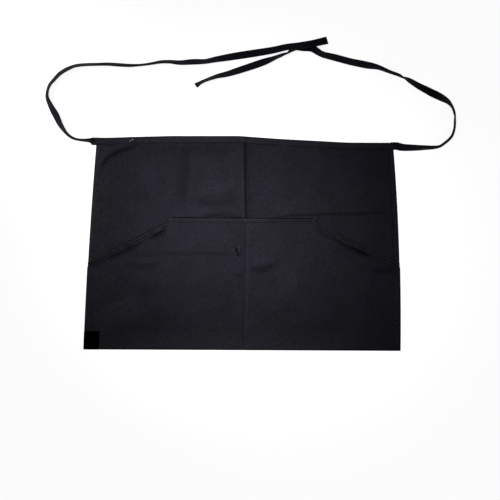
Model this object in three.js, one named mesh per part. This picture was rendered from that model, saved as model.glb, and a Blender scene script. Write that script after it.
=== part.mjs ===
// A half-length waist apron of dark twill, laid flat with its front up and its two ties loose beyond the waist.
// Millimetres. +Z is up, +X runs along the waistband and +Y points from the bottom edge to the waistband.
// The origin lies on the surface under the apron, at the middle of the cloth without the ties.

import * as THREE from "three";

// Driving dimensions of the body
const HEM_WIDTH = 711;
const WAIST_WIDTH = 666;
const WAIST_SHIFT = 6.5; // the waistband's middle lies this far to the right of the bottom edge's middle
const LENGTH = 480; // bottom edge to waistband, measured at the bottom edge's middle
const HEM_DROP = 3.4; // how much lower the bottom edge ends on the right than on the left
const LEFT_BOW = 2.7; // how far the left side curves out at half its height
const RIGHT_BOW = 5.5;
const CLOTH = 1.0; // one layer of cloth
const GAP = 0.3; // clearance between two layers, and between pieces that meet edge to edge
const SIDE_HEM = 12.5;
const BOTTOM_HEM = 25;
const WAISTBAND = 16.5;
const HEM_EASE = 14; // the cloth comes down from a hem to the surface over this distance
const FOLD_HEIGHT = 2.2; // height of the strongest crease
const SWELL = 0.65; // how far the middle of the cloth stands off the surface

// Driving dimensions of the pocket
const POCKET_TOP_WIDTH = 322;
const POCKET_TOP_HEIGHT = 296; // from the bottom edge up to the straight top opening
const POCKET_SIDE_HEIGHT = 198; // from the bottom edge up to where the slanted openings reach the sides
const POCKET_HEM = 9.5;
const MOUTH_HEM = 10.5;
const POCKET_HEM_THICKNESS = 1.7;
const POCKET_OVERHANG = 1.2; // the pocket's side edges stand this far outside the body's
const POUCH = 2.2; // how far the open pocket stands off the body
const POUCH_SIDE = 92; // the pocket comes fully off the body this far in from its side seams
const POUCH_LOW = 105; // the same from the bottom edge
const POUCH_CENTRE = 50; // and from the seam that divides the pocket
const SEAM_SLACK = 0.15; // the share of POUCH that is left over the dividing seam
const DIVIDER_SHIFT = 2.8; // the dividing seam lies this far to the right of the middle
const CREASE_HALF = 8; // half-width of the narrow strip that the seam and the centre crease stand on
const PUCKER_PITCH = 17; // spacing of the diagonal puckers along the slanted hems
const PUCKER_HEIGHT = 0.35;

// Driving dimensions of the ties and the label
const TIE_WIDTH = 17.5;
const TIE_THICKNESS = 2;
const TIE_LEAD = 7; // each tie leaves the waistband straight for this far
const LABEL_WIDTH = 33;
const LABEL_HEIGHT = 41;
const LABEL_THICKNESS = 1.0;

// Mesh fineness
const COLUMN_SPACING = 30;
const BAND_SPACING = 60;
const ROW_SPACING = 19;
const PUCKER_STEPS = 4;
const TIE_STEPS = 84;
const NEAREST_STOPS = 2; // two stations closer than this become one

// The waistband's upper edge: where along the width, and how far above the nominal length, as shares.
const WAISTLINE = [
  { across: 0, rise: -0.0042 },
  { across: 0.05, rise: -0.0036 },
  { across: 0.12, rise: -0.0003 },
  { across: 0.25, rise: 0.0042 },
  { across: 0.48, rise: 0.0042 },
  { across: 0.62, rise: -0.0098 },
  { across: 0.85, rise: -0.027 },
  { across: 1, rise: -0.0279 },
];

// A slanted opening from the corner of the top opening (out 0) to the side (out 1): how far it has fallen.
const MOUTH_LINE = [
  { out: 0, fall: 0 },
  { out: 0.08, fall: 0.14 },
  { out: 0.27, fall: 0.335 },
  { out: 0.55, fall: 0.595 },
  { out: 0.93, fall: 0.965 },
  { out: 1, fall: 1 },
];

// Creases of the body panel from (x0, y0) to (x1, y1), as shares of its width and length. The half-width is a
// share of the length and the height is a share of FOLD_HEIGHT; a negative height is a valley.
const PANEL_FOLDS = [
  { name: "centre crease", x0: 0.498, y0: 1, x1: 0.504, y1: 0.6, half: 0.03, height: 1 },
  { name: "right crease", x0: 0.73, y0: 0.644, x1: 0.97, y1: 0.644, half: 0.045, height: 0.7 },
  { name: "right wedge", x0: 0.57, y0: 0.628, x1: 0.75, y1: 0.648, half: 0.04, height: 0.45 },
  { name: "left crease", x0: 0.01, y0: 0.663, x1: 0.19, y1: 0.66, half: 0.04, height: 0.5 },
  { name: "left wedge", x0: 0.388, y0: 0.65, x1: 0.49, y1: 0.63, half: 0.04, height: 0.5 },
  { name: "upright swell", x0: 0.345, y0: 0.93, x1: 0.34, y1: 0.72, half: 0.1, height: 0.5 },
  { name: "upright valley", x0: 0.304, y0: 0.93, x1: 0.312, y1: 0.7, half: 0.05, height: -0.4 },
  { name: "level valley", x0: 0.34, y0: 0.695, x1: 0.49, y1: 0.72, half: 0.05, height: -0.35 },
  { name: "corner arc, lower", x0: 0.02, y0: 0.84, x1: 0.05, y1: 0.91, half: 0.04, height: 0.5 },
  { name: "corner arc, upper", x0: 0.05, y0: 0.91, x1: 0.13, y1: 0.95, half: 0.04, height: 0.5 },
];

// Creases of the pocket, in the same terms and on the same shares of the whole apron.
const POCKET_FOLDS = [
  { name: "level crease", x0: 0.12, y0: 0.459, x1: 0.485, y1: 0.459, half: 0.04, height: 0.5 },
  { name: "left of the seam", x0: 0.455, y0: 0.6, x1: 0.47, y1: 0.1, half: 0.07, height: 0.45 },
  { name: "right of the seam", x0: 0.55, y0: 0.6, x1: 0.545, y1: 0.1, half: 0.07, height: 0.4 },
  { name: "ridge by the dent", x0: 0.57, y0: 0.415, x1: 0.62, y1: 0.415, half: 0.04, height: 0.6 },
  { name: "slanted ridge", x0: 0.598, y0: 0.227, x1: 0.643, y1: 0.179, half: 0.045, height: 0.35 },
  { name: "lower left ridge", x0: 0.225, y0: 0.24, x1: 0.22, y1: 0.06, half: 0.05, height: 0.5 },
  { name: "left mouth swell", x0: 0.13, y0: 0.4, x1: 0.24, y1: 0.5, half: 0.06, height: 0.5 },
  { name: "right mouth swell", x0: 0.77, y0: 0.5, x1: 0.88, y1: 0.4, half: 0.06, height: 0.5 },
];

// The ties' centre lines on the surface, chosen by hand, after their start at the waistband's end. Lean is the
// roll in degrees: 0 lies flat with its face up, 90 stands on one edge.
const LEFT_ROUTE = [
  { x: -340, y: 231, lean: -58 },
  { x: -353, y: 232, lean: -76 },
  { x: -368, y: 234, lean: -85 },
  { x: -382, y: 238, lean: -78 },
  { x: -395, y: 248, lean: -68 },
  { x: -407, y: 265, lean: -47 },
  { x: -418, y: 288, lean: -28 },
  { x: -430, y: 310, lean: -46 },
  { x: -437, y: 327, lean: -59 },
  { x: -436, y: 342, lean: -62 },
  { x: -431, y: 356, lean: -58 },
  { x: -421, y: 369, lean: -54 },
  { x: -410, y: 381, lean: -51 },
  { x: -394, y: 391, lean: -52 },
  { x: -377, y: 398, lean: -58 },
  { x: -356, y: 401, lean: -61 },
  { x: -320, y: 402, lean: -62 },
  { x: -279, y: 401, lean: -59 },
  { x: -248, y: 399, lean: -63 },
  { x: -225, y: 399, lean: -75 },
  { x: -205, y: 403, lean: -68 },
  { x: -184, y: 407.5, lean: -60 },
  { x: -162, y: 408, lean: -57 },
  { x: -140, y: 406, lean: -48 },
  { x: -110, y: 408, lean: -37 },
  { x: -81, y: 409, lean: -44 },
  { x: -56, y: 414, lean: -32 },
  { x: -22, y: 420, lean: -14 },
  { x: 22, y: 427, lean: -8 },
  { x: 72, y: 434, lean: -20, lift: 6 },
  { x: 100, y: 439, lean: -26, lift: 12.5 },
  { x: 129, y: 442.5, lean: -25, lift: 14 },
  { x: 160, y: 448, lean: -16, lift: 11 },
  { x: 192, y: 457, lean: -4, lift: 2 },
];

const RIGHT_ROUTE = [
  { x: 360, y: 216, lean: 26 },
  { x: 385, y: 215, lean: 43 },
  { x: 407, y: 215, lean: 58 },
  { x: 428, y: 216, lean: 71 },
  { x: 443, y: 219, lean: 82 },
  { x: 457, y: 228, lean: 78 },
  { x: 470, y: 241, lean: 73 },
  { x: 476, y: 257, lean: 72 },
  { x: 478, y: 275, lean: 70 },
  { x: 476, y: 292, lean: 87 },
  { x: 471, y: 306, lean: 93 },
  { x: 463, y: 317, lean: 114 },
  { x: 449, y: 327, lean: 144 },
  { x: 425, y: 340, lean: 181 },
  { x: 397, y: 354, lean: 207 },
  { x: 375, y: 367, lean: 226 },
  { x: 356, y: 377, lean: 271 },
  { x: 334, y: 385, lean: 279 },
  { x: 308, y: 395, lean: 295 },
  { x: 279, y: 401, lean: 326 },
  { x: 245, y: 408, lean: 323 },
  { x: 211, y: 417, lean: 323 },
  { x: 179, y: 425.5, lean: 311 },
  { x: 156, y: 439.5, lean: 340 },
  { x: 138, y: 441, lean: 346 },
  { x: 122, y: 442, lean: 334 },
  { x: 109, y: 433.5, lean: 286 },
  { x: 94, y: 425.5, lean: 247 },
  { x: 72, y: 416, lean: 230 },
  { x: 43, y: 406, lean: 196 },
  { x: 2, y: 392, lean: 199 },
  { x: -32, y: 381, lean: 216 },
  { x: -58, y: 375, lean: 231 },
  { x: -80, y: 367, lean: 240 },
  { x: -93, y: 361, lean: 238 },
  { x: -104, y: 354, lean: 227 },
];

const { lerp, clamp, degToRad, smoothstep } = THREE.MathUtils;

// The value of a table's column at a place, on straight lines between its rows.
function readTable(rows, place, value, at) {
  const next = Math.max(1, rows.findIndex((row) => row[place] >= at));
  const [from, to] = [rows[next - 1], rows[next]];
  return lerp(from[value], to[value], (at - from[place]) / (to[place] - from[place]));
}

// The outline of the laid apron, at shares of its width (u) and length (v)
const leftEdge = (v) => lerp(-HEM_WIDTH / 2, WAIST_SHIFT - WAIST_WIDTH / 2, v) - LEFT_BOW * 4 * v * (1 - v);
const rightEdge = (v) => lerp(HEM_WIDTH / 2, WAIST_SHIFT + WAIST_WIDTH / 2, v) + RIGHT_BOW * 4 * v * (1 - v);
const bottomEdge = (u) => -LENGTH / 2 - HEM_DROP * (u - 0.5);
const waistRise = (u) => LENGTH * readTable(WAISTLINE, "across", "rise", u);

// The waistband's dips fade out down the cloth, so the pocket's opening stays level.
function spot(u, v) {
  const x = lerp(leftEdge(v), rightEdge(v), u);
  return { x, y: lerp(bottomEdge(u), LENGTH / 2, v) + waistRise(u) * v ** 3 };
}

// Shares taken up by the hems and the waistband
const sideHem = SIDE_HEM / HEM_WIDTH;
const sideEase = (SIDE_HEM + HEM_EASE) / HEM_WIDTH;
const lowHem = BOTTOM_HEM / LENGTH;
const lowEase = (BOTTOM_HEM + HEM_EASE) / LENGTH;
const bandLine = 1 - WAISTBAND / LENGTH;
const bandEase = 1 - (WAISTBAND + HEM_EASE) / LENGTH;
const clearance = GAP / LENGTH;
const foldRadius = (3 * CLOTH + 2 * GAP) / 2; // the waistband folds over the panel's edge with this radius

// Shares of the pocket's corners, and of the seam that divides it under the centre crease. The top opening is
// centred over the middle of the bottom edge.
const pocketTop = POCKET_TOP_HEIGHT / LENGTH;
const pocketSide = POCKET_SIDE_HEIGHT / LENGTH;
const topShare = (x) => (x - leftEdge(pocketTop)) / (rightEdge(pocketTop) - leftEdge(pocketTop));
const leftCorner = topShare(-POCKET_TOP_WIDTH / 2);
const rightCorner = topShare(POCKET_TOP_WIDTH / 2);
const dividerAt = 0.5 + DIVIDER_SHIFT / HEM_WIDTH;
const dividerHalf = CREASE_HALF / HEM_WIDTH;

// 1 inside the seam, falling to 0 over the ease
const seamed = (distance, seam, ease) => 1 - clamp((distance - seam) / (ease - seam), 0, 1);

// How much of a layer's rise the hems and the waistband give the body panel at a place
function seamShare(u, v) {
  const side = seamed(Math.min(u, 1 - u), sideHem, sideEase);
  const low = seamed(v, lowHem, lowEase);
  const high = seamed(1 - v, 1 - bandLine, 1 - bandEase);
  return Math.max(side, low, high);
}

// One crease's height at a place: a sharp ridge or valley that runs out softly at both ends
function crease({ x0, y0, x1, y1, half, height }, u, v) {
  const [ax, ay] = [(u - x0) * HEM_WIDTH, (v - y0) * LENGTH];
  const [bx, by] = [(x1 - x0) * HEM_WIDTH, (y1 - y0) * LENGTH];
  const along = clamp((ax * bx + ay * by) / (bx * bx + by * by), 0, 1);
  const off = Math.hypot(ax - along * bx, ay - along * by) / (half * LENGTH);
  return off < 1 ? height * FOLD_HEIGHT * (1 - off) ** 2 : 0;
}

const relief = (folds, u, v) => folds.reduce((sum, fold) => sum + crease(fold, u, v), 0);

// Height of the body panel's underside: on the surface, over the hems, or raised by a crease
function bodyUnder(u, v) {
  const seam = seamShare(u, v);
  const lifted = seam * (CLOTH + GAP);
  const swell = SWELL * Math.sin(Math.PI * clamp(u, 0, 1)) ** 2;
  return Math.max(0, lifted + (1 - seam) * (swell + relief(PANEL_FOLDS, u, v)));
}

// How far out a place is from the corner of the pocket's top opening (0) towards the side (1)
const outward = (u) => clamp(Math.max(1 - u / leftCorner, 1 - (1 - u) / (1 - rightCorner)), 0, 1);

// The pocket's upper edge as a share of the apron's length
const pocketEdge = (u) => lerp(pocketTop, pocketSide, readTable(MOUTH_LINE, "out", "fall", outward(u)));

// How far the pocket's hem reaches down from that edge, as a share of the length. A slanted hem's width is
// measured square to its edge, so it reaches further down.
function pocketHemDepth(u) {
  const run = (u < 0.5 ? leftCorner : 1 - rightCorner) * HEM_WIDTH;
  const slanted = (MOUTH_HEM * Math.hypot(run, POCKET_TOP_HEIGHT - POCKET_SIDE_HEIGHT)) / run;
  return lerp(POCKET_HEM, slanted, Math.min(1, outward(u) / MOUTH_LINE[1].out)) / LENGTH;
}

// Height of the pocket's underside: closed at its sides, bottom and centre seam, and open along its mouths
function pocketUnder(u, v) {
  const side = smoothstep(Math.min(u, 1 - u), sideHem, POUCH_SIDE / HEM_WIDTH);
  const low = smoothstep(v, lowHem, POUCH_LOW / LENGTH);
  const centre = smoothstep(Math.abs(u - dividerAt), 0, POUCH_CENTRE / HEM_WIDTH);
  const free = side * low * lerp(SEAM_SLACK, 1, centre);
  const inside = 1 - seamed(Math.min(u, 1 - u), sideHem, sideEase);
  const folds = Math.max(0, relief(POCKET_FOLDS, u, v)) * low * inside;
  return bodyUnder(u, v) + CLOTH + GAP + POUCH * free + folds;
}

// The pocket's own place: its side edges stand a little outside the body's
function pocketSpot(u, v) {
  const { x, y } = spot(u, v);
  return { x: x + POCKET_OVERHANG * (seamed(1 - u, 0, sideHem) - seamed(u, 0, sideHem)), y };
}

// Stations from stop to stop, each stretch divided evenly into steps no longer than the spacing
function stations(stops, spacing) {
  const places = [stops[0]];
  for (let i = 1; i < stops.length; i += 1) {
    const steps = Math.max(1, Math.round((stops[i] - stops[i - 1]) / spacing));
    for (let k = 1; k <= steps; k += 1) places.push(lerp(stops[i - 1], stops[i], k / steps));
  }
  return places;
}

// The places across the width where an edge or a rise changes direction, between two shares
function columnStops(from, to) {
  const mouth = MOUTH_LINE.flatMap(({ out }) => [leftCorner * (1 - out), 1 - (1 - rightCorner) * (1 - out)]);
  const waist = WAISTLINE.map(({ across }) => across);
  const seams = [sideHem, sideEase, dividerAt - dividerHalf, dividerAt, dividerAt + dividerHalf];
  const inner = [...mouth, ...waist, ...seams, 1 - sideHem, 1 - sideEase];
  const near = NEAREST_STOPS / HEM_WIDTH;
  const kept = [from];
  for (const stop of inner.filter((u) => u > from + near && u < to - near).sort((a, b) => a - b)) {
    if (stop - kept.at(-1) > near) kept.push(stop);
  }
  return [...kept, to];
}

const columns = (from, to, spacing) => stations(columnStops(from, to), spacing / HEM_WIDTH);

function geometry(points, faces) {
  const made = new THREE.BufferGeometry();
  made.setAttribute("position", new THREE.Float32BufferAttribute(points.flat(), 3));
  made.setIndex(faces.flat());
  made.computeVertexNormals();
  return made;
}

// A closed sheet of cloth on a grid. place(u, row) gives x, y, the underside's height and the upper side's.
function sheet(across, rows, place) {
  const grid = rows.flatMap((row) => across.map((u) => place(u, row)));
  const under = grid.map(({ x, y, under }) => [x, y, under]);
  const upper = grid.map(({ x, y, upper }) => [x, y, upper]);
  const [wide, tall, count] = [across.length, rows.length, grid.length];
  const faces = [];
  for (let j = 0; j + 1 < tall; j += 1) {
    for (let i = 0; i + 1 < wide; i += 1) {
      const a = j * wide + i;
      const [b, c, d] = [a + 1, a + wide + 1, a + wide];
      faces.push([a, c, b], [a, d, c], [a + count, b + count, c + count], [a + count, c + count, d + count]);
    }
  }
  const rim = [];
  for (let i = 0; i < wide; i += 1) rim.push(i);
  for (let j = 1; j < tall; j += 1) rim.push(j * wide + wide - 1);
  for (let i = wide - 2; i >= 0; i -= 1) rim.push((tall - 1) * wide + i);
  for (let j = tall - 2; j > 0; j -= 1) rim.push(j * wide);
  rim.forEach((a, k) => {
    const b = rim[(k + 1) % rim.length];
    faces.push([a, b, b + count], [a, b + count, a + count]);
  });
  return geometry([...under, ...upper], faces);
}

// A closed body through rings of points that correspond; section gives the ring's shape for the end faces. Where
// the ring's second half lies back to back with its first, paired gives both the same diagonals, so that a twist
// doesn't push one side through the other.
function loft(rings, section, paired = false) {
  const size = rings[0].length;
  const faces = [];
  for (let k = 0; k + 1 < rings.length; k += 1) {
    for (let i = 0; i < size; i += 1) {
      const [a, b] = [k * size + i, k * size + ((i + 1) % size)];
      if (paired && i >= size / 2) faces.push([a, b, a + size], [b, b + size, a + size]);
      else faces.push([a, b, b + size], [a, b + size, a + size]);
    }
  }
  const last = (rings.length - 1) * size;
  for (const [a, b, c] of THREE.ShapeUtils.triangulateShape(section, [])) {
    faces.push([a, c, b], [last + a, last + b, last + c]);
  }
  return geometry(rings.flat(), faces);
}

// A sheet of even thickness that lies over the apron's outline
function layer(across, rows, under, thickness, where = spot) {
  return sheet(across, rows, (u, v) => {
    const height = under(u, v);
    return { ...where(u, v), under: height, upper: height + thickness };
  });
}

function bodyPanel() {
  const topOfPanel = 1 - foldRadius / LENGTH;
  const creaseLine = PANEL_FOLDS.find(({ name }) => name === "right crease").y0;
  const stops = [0, lowHem, lowEase, pocketSide, pocketTop, creaseLine, bandEase, bandLine, topOfPanel];
  return layer(columns(0, 1, COLUMN_SPACING), stations(stops, ROW_SPACING / LENGTH), bodyUnder, CLOTH);
}

function sideHemStrip(from, to) {
  const rows = stations([lowHem + clearance, pocketSide, bandLine - clearance], ROW_SPACING / LENGTH);
  return layer([from, to], rows, () => 0, CLOTH);
}

function bottomHem() {
  return layer(columns(0, 1, COLUMN_SPACING), [0, lowHem], () => 0, CLOTH);
}

// The waistband's section goes round the panel's top edge: x is the distance down from the fold, y the height.
function waistband() {
  const [layers, round] = [2 * foldRadius, foldRadius];
  const outline = new THREE.Shape();
  outline.moveTo(WAISTBAND, layers);
  outline.lineTo(round, layers);
  outline.absarc(round, round, round, Math.PI / 2, (3 * Math.PI) / 2, false);
  outline.lineTo(WAISTBAND, 0);
  outline.lineTo(WAISTBAND, CLOTH);
  outline.lineTo(round, CLOTH);
  outline.absarc(round, round, round - CLOTH, (3 * Math.PI) / 2, Math.PI / 2, true);
  outline.lineTo(WAISTBAND, layers - CLOTH);
  const section = outline.getPoints(3).filter((p, i, all) => i === 0 || p.distanceTo(all[i - 1]) > 1e-6);
  const rings = columns(0, 1, BAND_SPACING).reverse().map((u) => {
    return section.map((p) => {
      const { x, y } = spot(u, 1 - p.x / LENGTH);
      return [x, y, p.y];
    });
  });
  return loft(rings, section);
}

function pocketPanel() {
  const rise = stations([0, 1], ROW_SPACING / (POCKET_TOP_HEIGHT - BOTTOM_HEM - HEM_EASE));
  const rows = [{ fixed: 0 }, { fixed: lowHem }, ...rise.map((share) => ({ fixed: lowEase, share }))];
  return sheet(columns(0, 1, COLUMN_SPACING), rows, (u, { fixed, share = 0 }) => {
    const v = lerp(fixed, pocketEdge(u) - pocketHemDepth(u) - clearance, share);
    const height = pocketUnder(u, v);
    return { ...pocketSpot(u, v), under: height, upper: height + CLOTH };
  });
}

function pocketTopHem() {
  const apart = GAP / HEM_WIDTH;
  return sheet(columns(leftCorner + apart, rightCorner - apart, COLUMN_SPACING), [0, 0.5, 1], (u, share) => {
    const v = pocketEdge(u) - pocketHemDepth(u) * (1 - share);
    const height = pocketUnder(u, v);
    return { ...pocketSpot(u, v), under: height, upper: height + POCKET_HEM_THICKNESS };
  });
}

// A slanted hem, with diagonal puckers that run across it
function mouthHem(from, to) {
  const across = columns(from, to, PUCKER_PITCH / PUCKER_STEPS);
  return sheet(across, [0, 0.5, 1], (u, share) => {
    const v = pocketEdge(u) - pocketHemDepth(u) * (1 - share);
    const height = pocketUnder(u, v);
    const turn = (2 * Math.PI * (u * HEM_WIDTH)) / PUCKER_PITCH + Math.PI * share;
    const pucker = PUCKER_HEIGHT * (1 + Math.sin(turn));
    return { ...pocketSpot(u, v), under: height, upper: height + POCKET_HEM_THICKNESS + pucker };
  });
}

// The label lies on the pocket's lower left corner, inside the apron's edges
function cornerLabel() {
  const across = stations([0, sideHem, sideEase, LABEL_WIDTH / HEM_WIDTH], 1);
  const rows = stations([0, lowHem, lowEase, LABEL_HEIGHT / LENGTH], 1);
  const under = (u, v) => pocketUnder(u, v) + CLOTH + GAP;
  return layer(across, rows, under, LABEL_THICKNESS, pocketSpot);
}

// The tie's section: a flat ribbon with bevelled edges, counted round its centre
function tieSection() {
  const [wide, thick, bevel] = [TIE_WIDTH / 2, TIE_THICKNESS / 2, TIE_THICKNESS / 4];
  const quarter = [
    [wide, thick - bevel],
    [wide - bevel, thick],
  ];
  const turned = quarter.map(([x, y]) => [-x, y]).reverse();
  const half = [...quarter, ...turned];
  return [...half, ...half.map(([x, y]) => [-x, -y])].map(([x, y]) => new THREE.Vector2(x, y));
}

// A ribbon along its route. Each ring leans by the route's roll and stands on its lower edge, plus any lift.
function tie(route) {
  const stops = route;
  const path = new THREE.CatmullRomCurve3(stops.map(({ x, y }) => new THREE.Vector3(x, y, 0)));
  const turns = stops.map(({ lean, lift = 0 }, i) => new THREE.Vector3(lean, lift, 40 * i));
  const roll = new THREE.CatmullRomCurve3(turns);
  const section = tieSection();
  const rings = [];
  for (let k = 0; k <= TIE_STEPS; k += 1) {
    const t = path.getUtoTmapping(k / TIE_STEPS);
    const centre = path.getPoint(t);
    const heading = path.getTangent(t);
    const { x: lean, y: lift } = roll.getPoint(t);
    const [cos, sin] = [Math.cos(degToRad(lean)), Math.sin(degToRad(lean))];
    const beside = new THREE.Vector3(-heading.y * cos, heading.x * cos, sin);
    const face = new THREE.Vector3(heading.y * sin, -heading.x * sin, cos);
    centre.z = (TIE_WIDTH * Math.abs(sin) + TIE_THICKNESS * Math.abs(cos)) / 2 + Math.max(0, lift);
    rings.push(
      section.map((p) => centre.clone().addScaledVector(beside, p.x).addScaledVector(face, p.y).toArray()),
    );
  }
  return loft(rings, section, true);
}

// The ties start at the waistband's ends, level with its middle, and leave it straight
function tieStart(side, outward) {
  const { y } = spot(side, 1 - WAISTBAND / 2 / LENGTH);
  const { x } = spot(side, 1 - (WAISTBAND + TIE_WIDTH) / 2 / LENGTH);
  return [GAP, GAP + TIE_LEAD].map((out) => ({ x: x + outward * out, y, lean: 0 }));
}

const apron = new THREE.Group();

function add(name, color, made, roughness = 0.9) {
  const piece = new THREE.Mesh(made, new THREE.MeshStandardMaterial({ color, roughness, metalness: 0 }));
  piece.name = name;
  apron.add(piece);
}

const TWILL = 0x26242d;
const TAPE = 0x17161d;
const WOVEN_BLACK = 0x060607;

add("body_panel", TWILL, bodyPanel());
add("left_side_hem", TWILL, sideHemStrip(0, sideHem));
add("right_side_hem", TWILL, sideHemStrip(1 - sideHem, 1));
add("bottom_hem", TWILL, bottomHem());
add("waistband", TWILL, waistband());
add("left_tie", TAPE, tie([...tieStart(0, -1), ...LEFT_ROUTE]));
add("right_tie", TAPE, tie([...tieStart(1, 1), ...RIGHT_ROUTE]));
add("pocket_panel", TWILL, pocketPanel());
add("pocket_top_hem", TWILL, pocketTopHem());
add("pocket_left_mouth_hem", TWILL, mouthHem(0, leftCorner));
add("pocket_right_mouth_hem", TWILL, mouthHem(rightCorner, 1));
add("corner_label", WOVEN_BLACK, cornerLabel(), 0.75);

export default apron;
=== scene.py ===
"""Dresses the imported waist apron: dark twill, laid flat with its front up, its ties loose above the waist.

Metres throughout. +Z is up, +X runs along the waistband and +Y points from the bottom edge to the
waistband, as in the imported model. A cloth is a grid over (u, v), the shares of the apron's laid width and
length.
"""

import logging
import math
from dataclasses import dataclass, field
from enum import Enum

import bpy
import numpy as np
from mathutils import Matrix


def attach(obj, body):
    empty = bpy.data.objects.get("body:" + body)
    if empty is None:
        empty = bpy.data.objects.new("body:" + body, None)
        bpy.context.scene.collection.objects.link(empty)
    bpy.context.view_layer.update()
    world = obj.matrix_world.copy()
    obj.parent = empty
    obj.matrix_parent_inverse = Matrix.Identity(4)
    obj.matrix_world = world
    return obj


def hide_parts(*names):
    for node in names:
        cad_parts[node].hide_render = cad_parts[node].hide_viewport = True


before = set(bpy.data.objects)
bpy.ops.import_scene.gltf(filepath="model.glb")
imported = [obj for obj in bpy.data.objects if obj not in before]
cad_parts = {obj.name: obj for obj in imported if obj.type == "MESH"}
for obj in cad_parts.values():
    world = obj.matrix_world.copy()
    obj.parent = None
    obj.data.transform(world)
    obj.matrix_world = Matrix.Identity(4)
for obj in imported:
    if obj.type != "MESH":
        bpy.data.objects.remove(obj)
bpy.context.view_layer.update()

log = logging.getLogger("apron")

Array = np.ndarray
Route = tuple[tuple[float, ...], ...]
Socket = bpy.types.NodeSocket
Piece = bpy.types.Object
Inputs = dict[str | int, object]
Place = tuple[float, float, float]
Colour = tuple[float, float, float, float]

SHARP_ANGLE = math.radians(55)  # edges sharper than this are not smoothed over
STITCH_IN = 0.001  # a hem's stitches run this far outside its inner edge

# The waistband's upper edge: where along the width, and how far above the nominal length, as shares.
WAISTLINE = (
    (0, -0.0042),
    (0.05, -0.0036),
    (0.12, -0.0003),
    (0.25, 0.0042),
    (0.48, 0.0042),
    (0.62, -0.0098),
    (0.85, -0.027),
    (1, -0.0279),
)

# A slanted opening from the corner of the top opening (0) to the side (1), and how far it has fallen there.
MOUTH_LINE = ((0, 0), (0.08, 0.14), (0.27, 0.335), (0.55, 0.595), (0.93, 0.965), (1, 1))

# How dark the painted shadow is in the opening just above the pocket's straight edge: x, and 0 for not at
# all.
PAINTED_SLIT_SHADOW = (
    (-0.160, 0.5),
    (-0.145, 1.0),
    (-0.085, 1.0),
    (-0.070, 0.4),
    (-0.035, 0.4),
    (-0.027, 1.0),
    (0.003, 1.0),
    (0.020, 0.3),
    (0.080, 0.4),
    (0.100, 0.9),
    (0.144, 1.0),
    (0.160, 0.6),
)

# The ties' centre lines after their start: x and y, the lean in degrees and any lift off the surface.
LEFT_ROUTE: Route = (
    (-0.34, 0.231, -58),
    (-0.353, 0.232, -76),
    (-0.368, 0.234, -85),
    (-0.382, 0.238, -78),
    (-0.395, 0.248, -68),
    (-0.407, 0.265, -47),
    (-0.418, 0.288, -28),
    (-0.43, 0.31, -46),
    (-0.437, 0.327, -59),
    (-0.436, 0.342, -62),
    (-0.431, 0.356, -58),
    (-0.421, 0.369, -54),
    (-0.41, 0.381, -51),
    (-0.394, 0.391, -52),
    (-0.377, 0.398, -58),
    (-0.356, 0.401, -61),
    (-0.32, 0.402, -62),
    (-0.279, 0.401, -59),
    (-0.248, 0.399, -63),
    (-0.225, 0.399, -75),
    (-0.205, 0.403, -68),
    (-0.184, 0.4075, -60),
    (-0.162, 0.408, -57),
    (-0.14, 0.406, -48),
    (-0.11, 0.408, -37),
    (-0.081, 0.409, -44),
    (-0.056, 0.414, -32),
    (-0.022, 0.42, -14),
    (0.022, 0.427, -8),
    (0.072, 0.434, -20, 0.006),
    (0.1, 0.439, -26, 0.013),
    (0.129, 0.4425, -25, 0.014),
    (0.16, 0.448, -16, 0.011),
    (0.192, 0.457, -4, 0.002),
)
RIGHT_ROUTE: Route = (
    (0.36, 0.216, 26),
    (0.385, 0.215, 43),
    (0.407, 0.215, 58),
    (0.428, 0.216, 71),
    (0.443, 0.219, 82),
    (0.457, 0.228, 78),
    (0.47, 0.241, 73),
    (0.476, 0.257, 72),
    (0.478, 0.275, 70),
    (0.476, 0.292, 87),
    (0.471, 0.306, 93),
    (0.463, 0.317, 114),
    (0.449, 0.327, 144),
    (0.425, 0.34, 181),
    (0.397, 0.354, 207),
    (0.375, 0.367, 226),
    (0.356, 0.377, 271),
    (0.334, 0.385, 279),
    (0.308, 0.395, 295),
    (0.279, 0.401, 326),
    (0.245, 0.408, 323),
    (0.211, 0.417, 323),
    (0.179, 0.4255, 311),
    (0.156, 0.4395, 340),
    (0.138, 0.441, 346),
    (0.122, 0.442, 334),
    (0.109, 0.4335, 286),
    (0.094, 0.4255, 247),
    (0.072, 0.416, 230),
    (0.043, 0.406, 196),
    (0.002, 0.392, 199),
    (-0.032, 0.381, 216),
    (-0.058, 0.375, 231),
    (-0.08, 0.367, 240),
    (-0.093, 0.361, 238),
    (-0.104, 0.354, 227),
)


def ease(x: Array | float) -> Array:
    """Smooth step: 0 up to 0, then 3 x squared less 2 x cubed, and 1 from 1 on."""
    x = np.clip(x, 0, 1)
    return x * x * (3 - 2 * x)


def fading(distance: Array, full: float, gone: float) -> Array:
    """1 up to the distance full, falling in a straight line to 0 at gone."""
    return 1 - np.clip((distance - full) / (gone - full), 0, 1)


def stations(*stretches: tuple[float, float]) -> Array:
    """Places along a line, in even steps on each stretch.

    Args:
        stretches: each stretch's end and its longest step; the first one's end is the start of the line.

    Returns:
        The places, from the start to the last end.
    """
    start = stretches[0][0]
    made = [np.array([start])]
    for end, step in stretches[1:]:
        count = max(1, round((end - start) / step))
        made.append(start + (end - start) * np.arange(1, count + 1) / count)
        start = end
    return np.concatenate(made)


def lattice(rows: int, columns: int, wrap: bool = False) -> Array:
    """Quads of a grid whose point in row j and column i has the number j times columns plus i.

    Args:
        rows: number of rows of points.
        columns: number of points in a row.
        wrap: whether each row is a ring.

    Returns:
        An array of four point numbers for each quad.
    """
    i = np.arange(columns if wrap else columns - 1)
    j = np.arange(rows - 1)[:, None] * columns
    a, b = j + i, j + (i + 1) % columns
    return np.stack([a, b, b + columns, a + columns], axis=-1).reshape(-1, 4)


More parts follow.
